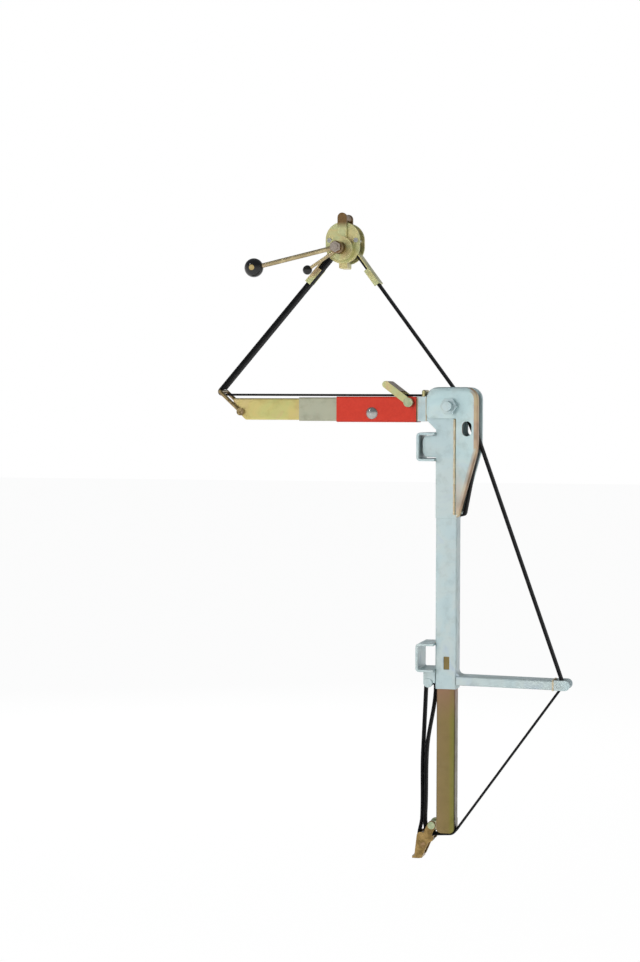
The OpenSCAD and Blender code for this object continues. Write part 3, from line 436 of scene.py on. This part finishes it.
# %% A finish for each solid
FINISH = {
    "gold": (gold_plate, ["head_front_plate", "head_back_plate", "bottom_block", "left_guide", "right_guide",
                          "brake_housing", "strap_keeper"]),
    "lever": (lever_plate, ["strap_lever"]),
    "stirrup": (stirrup_plate, ["lifting_stirrup"]),
    "rod": (rod_plate, ["crank_rod", "brake_rod"]),
    "green": (green_plate, ["hook_lugs", "hook_pivot_pin", "lever_stubs"]),
    "arm": (arm_plate, ["arm_tube", "arm_end_cap"]),
    "brown": (brown_plate, ["brake_nut", "crank_hub"]),
    "hook": (hook_plate, ["bottom_hook", "hook_pins"]),
    "bail": (bail_plate, ["tip_bail"]),
    "foot": (foot_plate, ["foot_tube", "foot_cap"]),
    "silver": (silver_plate, ["side_plates", "axle_bolt", "axle_nuts", "lip_bar", "anchor_pin",
                              "post_tube", "post_gusset", "upper_pad", "lower_pad", "pad_lugs", "pad_pin",
                              "strap_clamp", "outrigger", "outrigger_fork", "outrigger_pin_rod", "arm_root"]),
    "pressed": (pressed_plate, ["front_cheek", "back_cheek"]),
    "steel": (bright_steel, ["drive_shaft", "drive_roller", "head_ties", "head_screws", "brake_disc",
                             "shaft_collar", "stop_bolt", "frame_roller"]),
    "nut": (nut_steel, ["crank_nut"]),
    "red": (red_paint, ["arm_cover"]),
    "sleeve": (grey_plate, ["arm_sleeve"]),
    "phenolic": (phenolic, ["brake_ball", "crank_ball"]),
    "brass": (brass, ["crank_insert"]),
    "bronze": (bronze, ["shaft_bushes", "roller_bushes"]),
    "lining": (lining, ["brake_lining"]),
}
print("finishes:", len(FINISH), "for", sum(len(names) for _, names in FINISH.values()), "solids")

# %% [markdown]
# ## Dressing the solids
# A CAD solid has knife-sharp edges, and no real edge has. Each solid is copied, its loose triangles are
# merged into whole faces, and a Bevel rounds the edges by about half a millimetre, so they catch the light.
# The foot's tube and cap are welded flush, and a bevel would draw a line there, so they have none.

# %% Dressing the solids
EDGE = 0.6 * MM
SHARP = math.radians(32)
SAME_POINT = 2e-6
SAME_PLANE = math.radians(0.4)
WELDED_FLUSH = ("foot_tube", "foot_cap")


def dress(name, material, edge=EDGE):
    """A smooth-edged copy of a solid, in its place and on its body."""
    made = bmesh.new()
    made.from_mesh(frame["nodes"][name].data)
    bmesh.ops.remove_doubles(made, verts=made.verts, dist=SAME_POINT)
    bmesh.ops.dissolve_limit(made, angle_limit=SAME_PLANE, verts=made.verts, edges=made.edges)
    mesh = bpy.data.meshes.new(name + "_skin")
    made.to_mesh(mesh)
    made.free()
    mesh.materials.append(material)
    for face in mesh.polygons:
        face.use_smooth = True
    mesh.set_sharp_from_angle(angle=SHARP)
    piece = bpy.data.objects.new(name + "_skin", mesh)
    bpy.context.scene.collection.objects.link(piece)
    if edge:
        bevel = piece.modifiers.new("soft edge", "BEVEL")
        bevel.width = edge
        bevel.segments = 2
        bevel.limit_method = "ANGLE"
        bevel.angle_limit = SHARP
        bevel.harden_normals = True
    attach(piece, body_of[name])
    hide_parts(name)
    return piece


for material, names in FINISH.values():
    for name in names:
        dress(name, material, 0 if name in WELDED_FLUSH else EDGE)

# %% [markdown]
# ## The straps' route
# A strap under load runs straight between the rounds that it turns on. So its path is a chain of circles, each
# with a sign for the way it turns, and the straights are their common tangents. A curve drawn by hand would
# never lie so close. The rounds are read from the frame: each pin's box gives its centre and radius.

# %% The straps' route
STRAP_W = 30 * MM
STRAP_T = 4.5 * MM
SEAT = 0.3 * MM


def pin(name, way, layer=0):
    """Round of a pin lying along Y: centre x, centre z and signed radius to the middle of the webbing."""
    low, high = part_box(name)
    radius = (high[2] - low[2]) / 2
    middle = radius + SEAT + STRAP_T / 2 + layer * (STRAP_T + SEAT)
    return ((low[0] + high[0]) / 2, (low[2] + high[2]) / 2, way * middle)


def solid_at(x, z, radius, way, layer=0):
    """Round of known radius at a known place."""
    return (x, z, way * (radius + SEAT + STRAP_T / 2 + layer * (STRAP_T + SEAT)))


hinge = {joint["name"]: joint.get("pos_m") for joint in frame["joints"]}
AXLE = (hinge["roller_turn"][0], hinge["roller_turn"][2])
ROLLER_R = 17 * MM
SADDLE_R = 20 * MM
BAIL_R = 4 * MM
BAIL_INSET = BAIL_R + 0.2 * MM
FOOT_R = 12 * MM
END_PIN_R = 3.5 * MM
SADDLE_FROM_COVER = 22 * MM
root_low, root_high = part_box("arm_root")
saddle_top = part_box("strap_keeper")[0][2]
bail_low, bail_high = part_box("tip_bail")
tip = (bail_low[0] + BAIL_INSET, bail_high[2] - BAIL_INSET)
cap_low, cap_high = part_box("foot_cap")
HOOK = (hinge["hook_swing"][0], hinge["hook_swing"][2])
# The hook's two strap pins, measured from its pivot.
STRAP_PIN = (HOOK[0] - 23 * MM, HOOK[1] - 23.5 * MM)
END_PIN = (HOOK[0] - 3 * MM, HOOK[1] - 27.5 * MM)

lift_rounds = [
    pin("anchor_pin", 1),
    pin("lip_bar", 1),
    solid_at(*AXLE, ROLLER_R, 1),
    solid_at(root_low[0] + SADDLE_FROM_COVER, saddle_top - SADDLE_R, SADDLE_R, 1),
    solid_at(*tip, BAIL_R, -1),
    pin("drive_roller", -1),
    solid_at(*AXLE, ROLLER_R, -1, layer=1),
    pin("lip_bar", -1, layer=1),
    pin("outrigger_pin_rod", -1),
    solid_at(cap_high[0] - FOOT_R, cap_low[2] + FOOT_R, FOOT_R, -1),
    solid_at(*END_PIN, END_PIN_R, 1),
]
ANCHOR, LIP, ROLLER_IN, SADDLE, TIP, DRIVE, ROLLER_OUT, LIP_OUT, OUTRIGGER, FOOT, END = range(11)
print("rounds of the lifting strap:", len(lift_rounds))

# %% [markdown]
# ## Tangents between rounds
# A taut strap leaves a round where its heading is that of the straight to the next one. With signed radii one
# formula gives that heading, whether the strap stays on the same side of both rounds or crosses over.

# %% Tangents between rounds


def heading(a, b):
    """Heading of the common tangent between two signed rounds."""
    apart = math.hypot(b[0] - a[0], b[1] - a[1])
    return math.atan2(b[1] - a[1], b[0] - a[0]) - math.asin((b[2] - a[2]) / apart)


def on_round(round_, angle):
    """Point of a round where the webbing has a heading."""
    return Vector((round_[0] + round_[2] * math.sin(angle), round_[1] - round_[2] * math.cos(angle)))


def turn_by(before, after, way):
    """Turn from one heading to the next, the way that the round turns."""
    full = 2 * math.pi
    return (after - before) % full if way > 0 else -((before - after) % full)


lean = heading(lift_rounds[TIP], lift_rounds[DRIVE])
print("the left strand leans", round(math.degrees(lean), 1), "degrees")

# %% [markdown]
# ## Stations along the route
# A station is a point of the route and the heading of the strap there. On a round they lie a few degrees apart,
# and on a straight some millimetres, where two would do.

# %% Stations along the route
TURN_STEP = math.radians(8)
STRAIGHT_STEP = 15 * MM
LOOP = math.radians(200)
SAME_HEADING = 1e-6


def route(rounds, first, last, loop_in=0, loop_out=0):
    """Stations (point, heading) from one round to another of a chain, with loops at its very ends."""
    stations = []
    for i in range(first, last + 1):
        here = rounds[i]
        way = 1 if here[2] > 0 else -1
        if i > 0:
            arrive = heading(rounds[i - 1], here)
        if i < len(rounds) - 1:
            leave = heading(here, rounds[i + 1])
        if i == 0:
            arrive = leave - way * loop_in
        sweep = way * loop_out if i == len(rounds) - 1 else turn_by(arrive, leave, way)
        if i == 0:
            sweep = way * loop_in
        steps = max(1, math.ceil(abs(sweep) / TURN_STEP))
        for k in range(steps + 1):
            angle = arrive + sweep * k / steps
            stations.append((on_round(here, angle), angle))
    return stations


def straightened(stations):
    """The same stations with more of them along the straights."""
    out = [stations[0]]
    for (a, angle_a), (b, angle_b) in zip(stations, stations[1:]):
        steps = max(1, math.ceil((b - a).length / STRAIGHT_STEP))
        for k in range(1, steps):
            same = abs(angle_a - angle_b) < SAME_HEADING
            out.append((a.lerp(b, k / steps), angle_a if same else angle_b))
        out.append((b, angle_b))
    return out


def join(rounds, a, b):
    """The two stations where a straight leaves round a and meets round b."""
    angle = heading(rounds[a], rounds[b])
    return [(on_round(rounds[a], angle), angle), (on_round(rounds[b], angle), angle)]


chain = route(lift_rounds, ANCHOR, END, loop_in=LOOP, loop_out=LOOP)
strap_length = sum((b[0] - a[0]).length for a, b in zip(chain, chain[1:]))
print("lifting strap:", round(strap_length, 2), "m over", len(chain), "stations")

# %% [markdown]
# ## Cross-section of the webbing
# Webbing is a flat band whose selvedges are round, because the weft turns back there. A plain rectangle would
# catch the light on four hard edges, so each selvedge is half a circle.

# %% Cross-section of the webbing
SELVEDGE_STEPS = 5
SELVEDGE_TURN = 45


def band_outline():
    """Half-round selvedges joined by two flats: (across, out) pairs, anticlockwise."""
    half_w = STRAP_W / 2
    half_t = STRAP_T / 2
    corner = []
    for side in (1, -1):
        for k in range(SELVEDGE_STEPS):
            a = math.radians(SELVEDGE_TURN * k - 90 * side)
            corner.append((side * (half_w - half_t) + half_t * math.cos(a), half_t * math.sin(a)))
    return corner


print("band outline:", len(band_outline()), "points")

# %% [markdown]
# ## Sweeping the webbing
# A curve with a bevel would sweep the band too, but it would give no UV map in metres. So the band is swept
# along the stations in plain mesh code, which lays the length and the width in the map as it goes.

# %% Sweeping the webbing
STRAP_SHARP = math.radians(60)


def webbing_run(name, stations, start_at=0.0):
    """Mesh of one run of webbing, closed at both ends, with UVs in metres along and across."""
    outline = band_outline()
    made = bmesh.new()
    layer = made.loops.layers.uv.new("strap")
    rings, lengths, travelled = [], [], start_at
    for i, (point, angle) in enumerate(stations):
        if i:
            travelled += (point - stations[i - 1][0]).length
        lengths.append(travelled)
        out = Vector((math.sin(angle), -math.cos(angle)))
        rings.append([made.verts.new((point.x + o * out.x, w, point.y + o * out.y)) for w, o in outline])
    around = [0.0]
    for (w0, o0), (w1, o1) in zip(outline, outline[1:] + outline[:1]):
        around.append(around[-1] + math.hypot(w1 - w0, o1 - o0))
    count = len(outline)
    for i in range(len(rings) - 1):
        for k in range(count):
            nxt = (k + 1) % count
            face = made.faces.new((rings[i][k], rings[i][nxt], rings[i + 1][nxt], rings[i + 1][k]))
            spots = ((lengths[i], around[k]), (lengths[i], around[k + 1]),
                     (lengths[i + 1], around[k + 1]), (lengths[i + 1], around[k]))
            for loop, spot in zip(face.loops, spots):
                loop[layer].uv = spot
            face.smooth = True
    made.faces.new(rings[0])
    made.faces.new(rings[-1])
    bmesh.ops.recalc_face_normals(made, faces=made.faces)
    mesh = bpy.data.meshes.new(name)
    made.to_mesh(mesh)
    made.free()
    mesh.materials.append(webbing)
    mesh.set_sharp_from_angle(angle=STRAP_SHARP)
    piece = bpy.data.objects.new(name, mesh)
    bpy.context.scene.collection.objects.link(piece)
    return piece


print("webbing:", round(STRAP_W / MM), "by", round(STRAP_T / MM, 1), "mm")

# %% [markdown]
# ## Runs of the lifting strap
# The real strap runs over the rollers as the arm and the foot slide. A mesh can't, so it is cut into runs at the
# rounds: the run over the roller and the run from the head to the outrigger ride on the frame, and the rest stay
# where they are drawn. A second layer is sewn to the long left strand, on its inner side.

frame_run = webbing_run("strap_over_roller", straightened(route(lift_rounds, ANCHOR, SADDLE, loop_in=LOOP)))
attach(frame_run, "frame")
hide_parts("lifting_strap")

along_arm = join(lift_rounds, SADDLE, TIP)
arm_run = webbing_run("strap_along_arm", straightened(along_arm + route(lift_rounds, TIP, TIP)))
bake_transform(arm_run)

left_strand = join(lift_rounds, TIP, DRIVE)
left_run = webbing_run("strap_left_strand", straightened(left_strand))
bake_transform(left_run)

SEWN_START = 6 * MM
SEWN_END = 26 * MM
LAYER = STRAP_T + 0.1 * MM
sewn_angle = left_strand[0][1]
sewn_out = Vector((math.sin(sewn_angle), -math.cos(sewn_angle))) * LAYER
along = Vector((math.cos(sewn_angle), math.sin(sewn_angle)))
sewn_line = [(left_strand[0][0] + along * SEWN_START + sewn_out, sewn_angle),
             (left_strand[1][0] - along * SEWN_END + sewn_out, sewn_angle)]
sewn_run = webbing_run("strap_sewn_layer", straightened(sewn_line))
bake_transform(sewn_run)

head_run = webbing_run("strap_head_to_outrigger", straightened(route(lift_rounds, DRIVE, OUTRIGGER)))
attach(head_run, "frame")

lower_strand = join(lift_rounds, OUTRIGGER, FOOT)
lower_run = webbing_run("strap_lower_strand", straightened(lower_strand))
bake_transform(lower_run)

foot_run = webbing_run("strap_under_foot", straightened(route(lift_rounds, FOOT, END, loop_out=LOOP)))
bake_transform(foot_run)
print("left strand:", round((left_strand[1][0] - left_strand[0][0]).length, 3), "m")

# %% [markdown]
# ## The short strap
# The short strap hangs from the pin under the lower pad, turns round the hook's pin and goes back up to its
# clamp on the post. Its two strands are sewn to each other above the hook, so they are drawn together there.

# %% The short strap
CLAMP_TURN = 20 * MM
CLAMP_DROP = 4 * MM
CLAMP_RISE = 36 * MM
TOUCH = 0.1 * MM
LUG_PIN_R = 5 * MM
HOOK_PIN_R = 5 * MM
HOOK_SHARE = 0.86
GATHER_Z = -1.123
GATHER_LOW_Z = -1.266
GATHER_FREE_Z = -0.999
DOWN_PULL = 5 * MM
UP_PULL_TOP = -10.5 * MM
UP_PULL_LOW = -5 * MM
PIN_Z = STRAP_PIN[1]

post_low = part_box("post_tube")[0]
clamp_x = post_low[0] - TOUCH - STRAP_T / 2
pad_pin_x, pad_pin_z, _ = pin("pad_pin", 1)
hook_rounds = [
    solid_at(pad_pin_x, pad_pin_z, LUG_PIN_R, 1),
    solid_at(*STRAP_PIN, HOOK_PIN_R, 1),
    (clamp_x - CLAMP_TURN, post_low[2] - CLAMP_DROP, CLAMP_TURN),
    (clamp_x, post_low[2] + CLAMP_RISE, 0),
]


def gathered(stations, pulls):
    """Stations drawn sideways by a share of (z, pull) pairs, where the two strands are sewn to each other."""
    out = []
    for point, angle in stations:
        shift = 0.0
        for (z0, p0), (z1, p1) in zip(pulls, pulls[1:]):
            if z1 <= point.y <= z0:
                share = (z0 - point.y) / (z0 - z1)
                shift = p0 + (p1 - p0) * share * share * (3 - 2 * share)
        out.append((point + Vector((shift, 0)), angle))
    return out


down_pulls = [(GATHER_Z, 0), (GATHER_LOW_Z, DOWN_PULL), (PIN_Z, 0)]
up_pulls = [(GATHER_FREE_Z, 0), (GATHER_Z, UP_PULL_TOP), (GATHER_LOW_Z, UP_PULL_LOW), (PIN_Z, 0)]
down = join(hook_rounds, 0, 1)
up = join(hook_rounds, 1, 2)
cut_down = (down[0][0].lerp(down[1][0], HOOK_SHARE), down[0][1])
cut_up = (up[0][0].lerp(up[1][0], 1 - HOOK_SHARE), up[0][1])
turn = route(hook_rounds, 1, 1)

down_line = gathered(straightened(route(hook_rounds, 0, 0, loop_in=LOOP) + [cut_down]), down_pulls)
down_run = webbing_run("hook_strap_down", down_line)
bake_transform(down_run)
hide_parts("hook_strap")
loop_line = (gathered(straightened([cut_down, turn[0]]), down_pulls) + turn[1:-1]
             + gathered(straightened([turn[-1], cut_up]), up_pulls))
loop_run = webbing_run("hook_strap_loop", loop_line)
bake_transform(loop_run)
up_line = gathered(straightened([cut_up] + route(hook_rounds, 2, 3)), up_pulls)
up_run = webbing_run("hook_strap_up", up_line)
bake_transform(up_run)

# %% [markdown]
# ## Beads along a path
# A weld is a row of overlapping drops and a seam is a row of short stitches, so one Geometry Nodes tree makes
# both: it walks along a line, sets a small bead at each step, turns it along the line and varies its size a
# little by a fixed seed. A curve with a round bevel would be smoother than either of them is.

# %% Beads along a path
DROP_DETAIL = 2
bead_tree = bpy.data.node_groups.new("beads along a path", "GeometryNodeTree")
sockets = {}
for name, kind in (("Geometry", "Geometry"), ("Spacing", "Float"), ("Length", "Float"), ("Width", "Float"),
                   ("Jitter", "Float"), ("Seed", "Int"), ("Finish", "Material")):
    sockets[name] = bead_tree.interface.new_socket(name, in_out="INPUT", socket_type="NodeSocket" + kind)
bead_tree.interface.new_socket("Geometry", in_out="OUTPUT", socket_type="NodeSocketGeometry")
given = add(bead_tree, "NodeGroupInput").outputs
line = add(bead_tree, "GeometryNodeMeshToCurve", {"Mesh": given["Geometry"]})
steps = add(bead_tree, "GeometryNodeResampleCurve", {
    "Curve": line.outputs["Curve"], "Length": given["Spacing"]}, mode="LENGTH")
drop = add(bead_tree, "GeometryNodeMeshIcoSphere", {"Radius": 0.5, "Subdivisions": DROP_DETAIL})
lie = add(bead_tree, "FunctionNodeAlignRotationToVector", {
    "Vector": add(bead_tree, "GeometryNodeInputTangent").outputs["Tangent"]}, axis="X")
least = add(bead_tree, "ShaderNodeMath", {0: 1.0, 1: given["Jitter"]}, operation="SUBTRACT")
vary = add(bead_tree, "FunctionNodeRandomValue", {
    "Min": least.outputs[0], "Max": 1.0, "Seed": given["Seed"]}, data_type="FLOAT")
long = add(bead_tree, "ShaderNodeMath", {0: given["Length"], 1: vary.outputs[1]}, operation="MULTIPLY")
wide = add(bead_tree, "ShaderNodeMath", {0: given["Width"], 1: vary.outputs[1]}, operation="MULTIPLY")
size = add(bead_tree, "ShaderNodeCombineXYZ", {
    "X": long.outputs[0], "Y": wide.outputs[0], "Z": wide.outputs[0]})
row = add(bead_tree, "GeometryNodeInstanceOnPoints", {
    "Points": steps.outputs["Curve"], "Instance": drop.outputs["Mesh"], "Rotation": lie.outputs["Rotation"],
    "Scale": size.outputs["Vector"]})
real = add(bead_tree, "GeometryNodeRealizeInstances", {"Geometry": row.outputs["Instances"]})
soft = add(bead_tree, "GeometryNodeSetShadeSmooth", {"Geometry": real.outputs["Geometry"]})
coat = add(bead_tree, "GeometryNodeSetMaterial", {
    "Geometry": soft.outputs["Geometry"], "Material": given["Finish"]})
add(bead_tree, "NodeGroupOutput", {"Geometry": coat.outputs["Geometry"]})
print("tree inputs:", ", ".join(sockets))

# %% [markdown]
# ## From rows of beads to a plain mesh
# The tree needs lines to walk on, so a helper makes a mesh of edges from lists of points, sets the inputs by
# their identifiers, lets Blender work the tree out and keeps the result as a plain mesh without the modifier.

# %% From rows of beads to a plain mesh


def beads(name, lines, **values):
    """A plain mesh of beads along the given lines of points."""
    points, edges = [], []
    for run in lines:
        edges += [(len(points) + k, len(points) + k + 1) for k in range(len(run) - 1)]
        points += run
    mesh = bpy.data.meshes.new(name + "_line")
    mesh.from_pydata(points, edges, [])
    piece = bpy.data.objects.new(name, mesh)
    bpy.context.scene.collection.objects.link(piece)
    rows = piece.modifiers.new("beads", "NODES")
    rows.node_group = bead_tree
    for key, value in values.items():
        rows[sockets[key].identifier] = value
    graph = bpy.context.evaluated_depsgraph_get()
    made = bpy.data.meshes.new_from_object(piece.evaluated_get(graph), depsgraph=graph)
    piece.modifiers.clear()
    piece.data = made
    print(name, len(made.polygons), "faces")
    return piece


print("a bead has", 20 * 4 ** (DROP_DETAIL - 1), "faces")

# %% [markdown]
# ## Long welds
# The lifter is welded by hand, and the heat turned the film on the drops to a pale tan. The long seams run down
# the notch of each cheek and round the outrigger's fork. Each is a line of beads in the corner that it fills.
# A bump could draw the ripples, but a seam shows in outline too, so it is real geometry.

# %% Long welds
# Plate over a weld: tan, and duller than the plate around it.
weld_tan = zinc("zinc plate over a weld", ["#d8c8a6", "#d3bd98", "#dccfb2", "#c9b394"], "#a89472",
                metallic=0.4, rough=(0.4, 0.55), patch=30)[0]
SEAM = {"Spacing": 2.8 * MM, "Length": 6.5 * MM, "Width": 6 * MM, "Jitter": 0.22, "Seed": 11,
        "Finish": weld_tan}
NOTCH_INSET = 9.2 * MM
SEAM_PROUD = 1.2 * MM
SEAM_FROM_TOP = 16 * MM
SEAM_FROM_END = 8 * MM
FORK_BACK = 1.5 * MM
FORK_SUNK = 1.6 * MM


def ring(x, low, high, proud):
    """Closed line round a tube that lies along X."""
    y, below, above = high[1] + proud, low[2] - proud, high[2] + proud
    return [(x, -y, below), (x, y, below), (x, y, above), (x, -y, above), (x, -y, below)]


side_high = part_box("side_plates")[1]
cheek_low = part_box("front_cheek")[0]
notch_x = side_high[0] - NOTCH_INSET
notch_y = side_high[1] + SEAM_PROUD
seams = [[(notch_x, side * notch_y, side_high[2] - SEAM_FROM_TOP),
          (notch_x, side * notch_y, cheek_low[2] + SEAM_FROM_END)] for side in (-1, 1)]
fork_low, fork_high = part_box("outrigger_fork")
seams.append(ring(fork_low[0] - FORK_BACK, fork_low, fork_high, -FORK_SUNK))
long_seams = beads("weld_seams", seams, **SEAM)

# %% [markdown]
# ## Short welds
# Short seams hold the pads, the arm's root and the hook's lugs. The same tree makes them, with smaller drops.
# The lugs are on the foot, which slides, so their seams are a mesh of their own that rides with it.

# %% Short welds
TACK = {"Spacing": 1.8 * MM, "Length": 3.6 * MM, "Width": 3 * MM, "Jitter": 0.25, "Seed": 5,
        "Finish": weld_tan}
PAD_TACK_INSET = 0.8 * MM
PAD_TACK_HALF = 20 * MM
ROOT_TACK_INSET = 1.5 * MM
ROOT_TACK_LOW = 2 * MM
ROOT_TACK_HIGH = 3 * MM
LUG_INSET_X = 0.3 * MM
LUG_INSET_Y = 0.5 * MM
LUG_TACK_END = 2 * MM

tacks = []
for name in ("upper_pad", "lower_pad"):
    low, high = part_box(name)
    x = high[0] - PAD_TACK_INSET
    tacks += [[(x, -PAD_TACK_HALF, z), (x, PAD_TACK_HALF, z)] for z in (low[2], high[2])]
for x in (root_low[0] + ROOT_TACK_INSET, cheek_low[0] - ROOT_TACK_INSET):
    tacks += [[(x, side * root_high[1], root_low[2] + ROOT_TACK_LOW),
               (x, side * root_high[1], root_high[2] - ROOT_TACK_HIGH)] for side in (-1, 1)]
short_seams = beads("weld_tacks", tacks, **TACK)
for piece in (long_seams, short_seams):
    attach(piece, "frame")

lug_low, lug_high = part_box("hook_lugs")
lug_x = lug_high[0] - LUG_INSET_X
lug_y = lug_high[1] - LUG_INSET_Y
lug_seams = beads("weld_lugs", [[(lug_x, side * lug_y, lug_low[2] + LUG_TACK_END),
                                 (lug_x, side * lug_y, lug_high[2] - LUG_TACK_END)]
                                for side in (-1, 1)], **TACK)
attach(lug_seams, "foot_post")

# %% [markdown]
# ## Stitches
# The second layer on the long left strand is sewn down along both selvedges, and the two strands of the short
# strap are sewn to each other above the hook. The thread is a dark grey polyester.

# %% Stitches
TWIST = 2
# Polyester thread: dark grey and matt, a shade lighter than the webbing.
thread = plain("grey polyester thread", "#2e2e30", "#232325", TWIST, 0.1, 0.7)
STITCH = {"Spacing": 5 * MM, "Length": 3.6 * MM, "Width": 1.1 * MM, "Jitter": 0.1, "Seed": 3,
          "Finish": thread}
ROW_Y = (-11.5 * MM, 11.5 * MM)
SHORT_ROW_Y = (-11.5 * MM, -4 * MM, 4 * MM, 11.5 * MM)
SHORT_ROW_DROP = 50 * MM
FACE = STRAP_T / 2


def sewn_rows(stations, height, rows):
    """Lines of stitches on one face of the webbing, at a height over its middle."""
    return [[(point.x + height * math.sin(angle), y, point.y - height * math.cos(angle))
             for point, angle in stations] for y in rows]


sewn_seam = beads("stitch_left_strand", sewn_rows(sewn_line, FACE, ROW_Y)
                  + sewn_rows(sewn_line, -FACE - LAYER, ROW_Y), **STITCH)
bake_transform(sewn_seam)

sewn_down = [station for station in down_line if GATHER_LOW_Z < station[0].y < GATHER_Z - SHORT_ROW_DROP]
short_seam = beads("stitch_short_strap", sewn_rows(sewn_down, -FACE, SHORT_ROW_Y), **STITCH)
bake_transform(short_seam)

# %% [markdown]
# ## Floor
# A plain pale floor lies under the hanging lifter, far enough below to leave it hanging. To the camera and in
# reflections it glows almost white, and the share that doesn't glow keeps the shadow.

# %% Floor
FLOOR_GAP = 0.22
FLOOR_REACH = 30
FLOOR_GLOW = 0.93
FLOOR_WHITE = 1.03  # makes up for the darker share, so that the floor meets the white world

floor_mesh = bpy.data.meshes.new("floor")
floor_z = cad_low[2] - FLOOR_GAP
corners = [(-1, -1), (1, -1), (1, 1), (-1, 1)]
floor_mesh.from_pydata([(x * FLOOR_REACH, y * FLOOR_REACH, floor_z) for x, y in corners], [], [(0, 1, 2, 3)])
# A painted studio floor: matt and almost white.
floor_finish, floor_tree, floor_shader = start("pale floor", Roughness=0.9)
floor_shader.inputs["Base Color"].default_value = colour("#f4f4f2")
sight = add(floor_tree, "ShaderNodeLightPath")
looked = add(floor_tree, "ShaderNodeMath", {
    0: sight.outputs["Is Camera Ray"], 1: sight.outputs["Is Glossy Ray"]}, operation="MAXIMUM")
glow = add(floor_tree, "ShaderNodeEmission", {"Color": colour("#ffffff"), "Strength": FLOOR_WHITE})
glow_share = add(floor_tree, "ShaderNodeMath", {0: looked.outputs[0], 1: FLOOR_GLOW}, operation="MULTIPLY")
floor_mix = add(floor_tree, "ShaderNodeMixShader", {
    "Fac": glow_share.outputs[0], 1: floor_shader.outputs["BSDF"], 2: glow.outputs["Emission"]})
floor_out = next(node for node in floor_tree.nodes if node.type == "OUTPUT_MATERIAL")
floor_tree.links.new(floor_mix.outputs["Shader"], floor_out.inputs["Surface"])
floor_mesh.materials.append(floor_finish)
floor = bpy.data.objects.new("floor", floor_mesh)
bpy.context.scene.collection.objects.link(floor)
floor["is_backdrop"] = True
print("floor at", round(floor_z, 3), "m")

# %% [markdown]
# ## World
# The light is that of a plain studio. Its dome is white low down and grey overhead, so what faces up is darker
# than what faces the camera. An even white world would make flat metal look like paper, so reflections see the
# dome a little stronger than the light that it gives, and the camera sees plain white.

# %% World
DOME = [(0.0, "#b4b4b2"), (0.46, "#ffffff"), (0.58, "#eef0f1"), (0.74, "#8e9498")]
DOME_LIGHT = 0.52
DOME_SHINE = 0.8

world = bpy.data.worlds.new("studio")
bpy.context.scene.world = world
world.use_nodes = True
sky = world.node_tree
sky.nodes.clear()
rays = add(sky, "ShaderNodeLightPath")
up_axis = add(sky, "ShaderNodeSeparateXYZ",
              {"Vector": add(sky, "ShaderNodeTexCoord").outputs["Generated"]})
height = add(sky, "ShaderNodeMapRange", {"Value": up_axis.outputs["Z"], "From Min": -1, "From Max": 1})
dome = add(sky, "ShaderNodeValToRGB", {"Fac": height.outputs["Result"]}, DOME).outputs["Color"]
lit = add(sky, "ShaderNodeBackground", {"Color": dome, "Strength": DOME_LIGHT})
shine = add(sky, "ShaderNodeBackground", {"Color": dome, "Strength": DOME_SHINE})
seen = add(sky, "ShaderNodeBackground", {"Color": colour("#ffffff"), "Strength": 1.0})
to_gloss = add(sky, "ShaderNodeMixShader", {
    "Fac": rays.outputs["Is Glossy Ray"], 1: lit.outputs["Background"], 2: shine.outputs["Background"]})
straight = add(sky, "ShaderNodeMath", {
    0: rays.outputs["Is Camera Ray"], 1: rays.outputs["Is Transmission Ray"]}, operation="MAXIMUM")
mixed_sky = add(sky, "ShaderNodeMixShader", {
    "Fac": straight.outputs[0], 1: to_gloss.outputs["Shader"], 2: seen.outputs["Background"]})
add(sky, "ShaderNodeOutputWorld", {"Surface": mixed_sky.outputs["Shader"]})
print("dome:", DOME_LIGHT, "as light,", DOME_SHINE, "in reflections")

# %% [markdown]
# ## Lamps
# Three wide soft lamps stand before, beside and behind the lifter. Flat metal would mirror them as white
# patches, so they light without showing in it. One small lamp does show, and gives round parts a highlight.

# %% Lamps
AIM_AT = (0.1, 0.0, -0.65)


def lamp(name, at, size, power, mirrored=False):
    """A square soft lamp that looks at the lifter's middle, and shows in gloss only if it is mirrored."""
    light = bpy.data.lights.new(name, "AREA")
    light.size = size
    light.energy = power
    obj = bpy.data.objects.new(name, light)
    obj.matrix_world = (Matrix.Translation(Vector(at))
                        @ (Vector(AIM_AT) - Vector(at)).to_track_quat("-Z", "Y").to_matrix().to_4x4())
    obj.visible_glossy = mirrored
    bpy.context.scene.collection.objects.link(obj)


lamp("key", (-1.3, -4.0, 0.1), 2.4, 118)
lamp("fill", (3.4, -0.6, 0.2), 2.0, 20)
lamp("rim", (-1.6, 3.4, 0.8), 2.4, 70)
lamp("spark", (-2.6, -2.4, 2.8), 0.8, 16, mirrored=True)
print("lamps:", len(bpy.data.lights))

# Standard shows each colour as it is written.
bpy.context.scene.view_settings.view_transform = "Standard"

# %% [markdown]
# ## Size
# Dressing must not change the object's size, so the box of the dressed part is printed.

# %% Size and finish
low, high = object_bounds()
print("dressed part:", [round((b - a) / MM) for a, b in zip(low, high)], "mm")
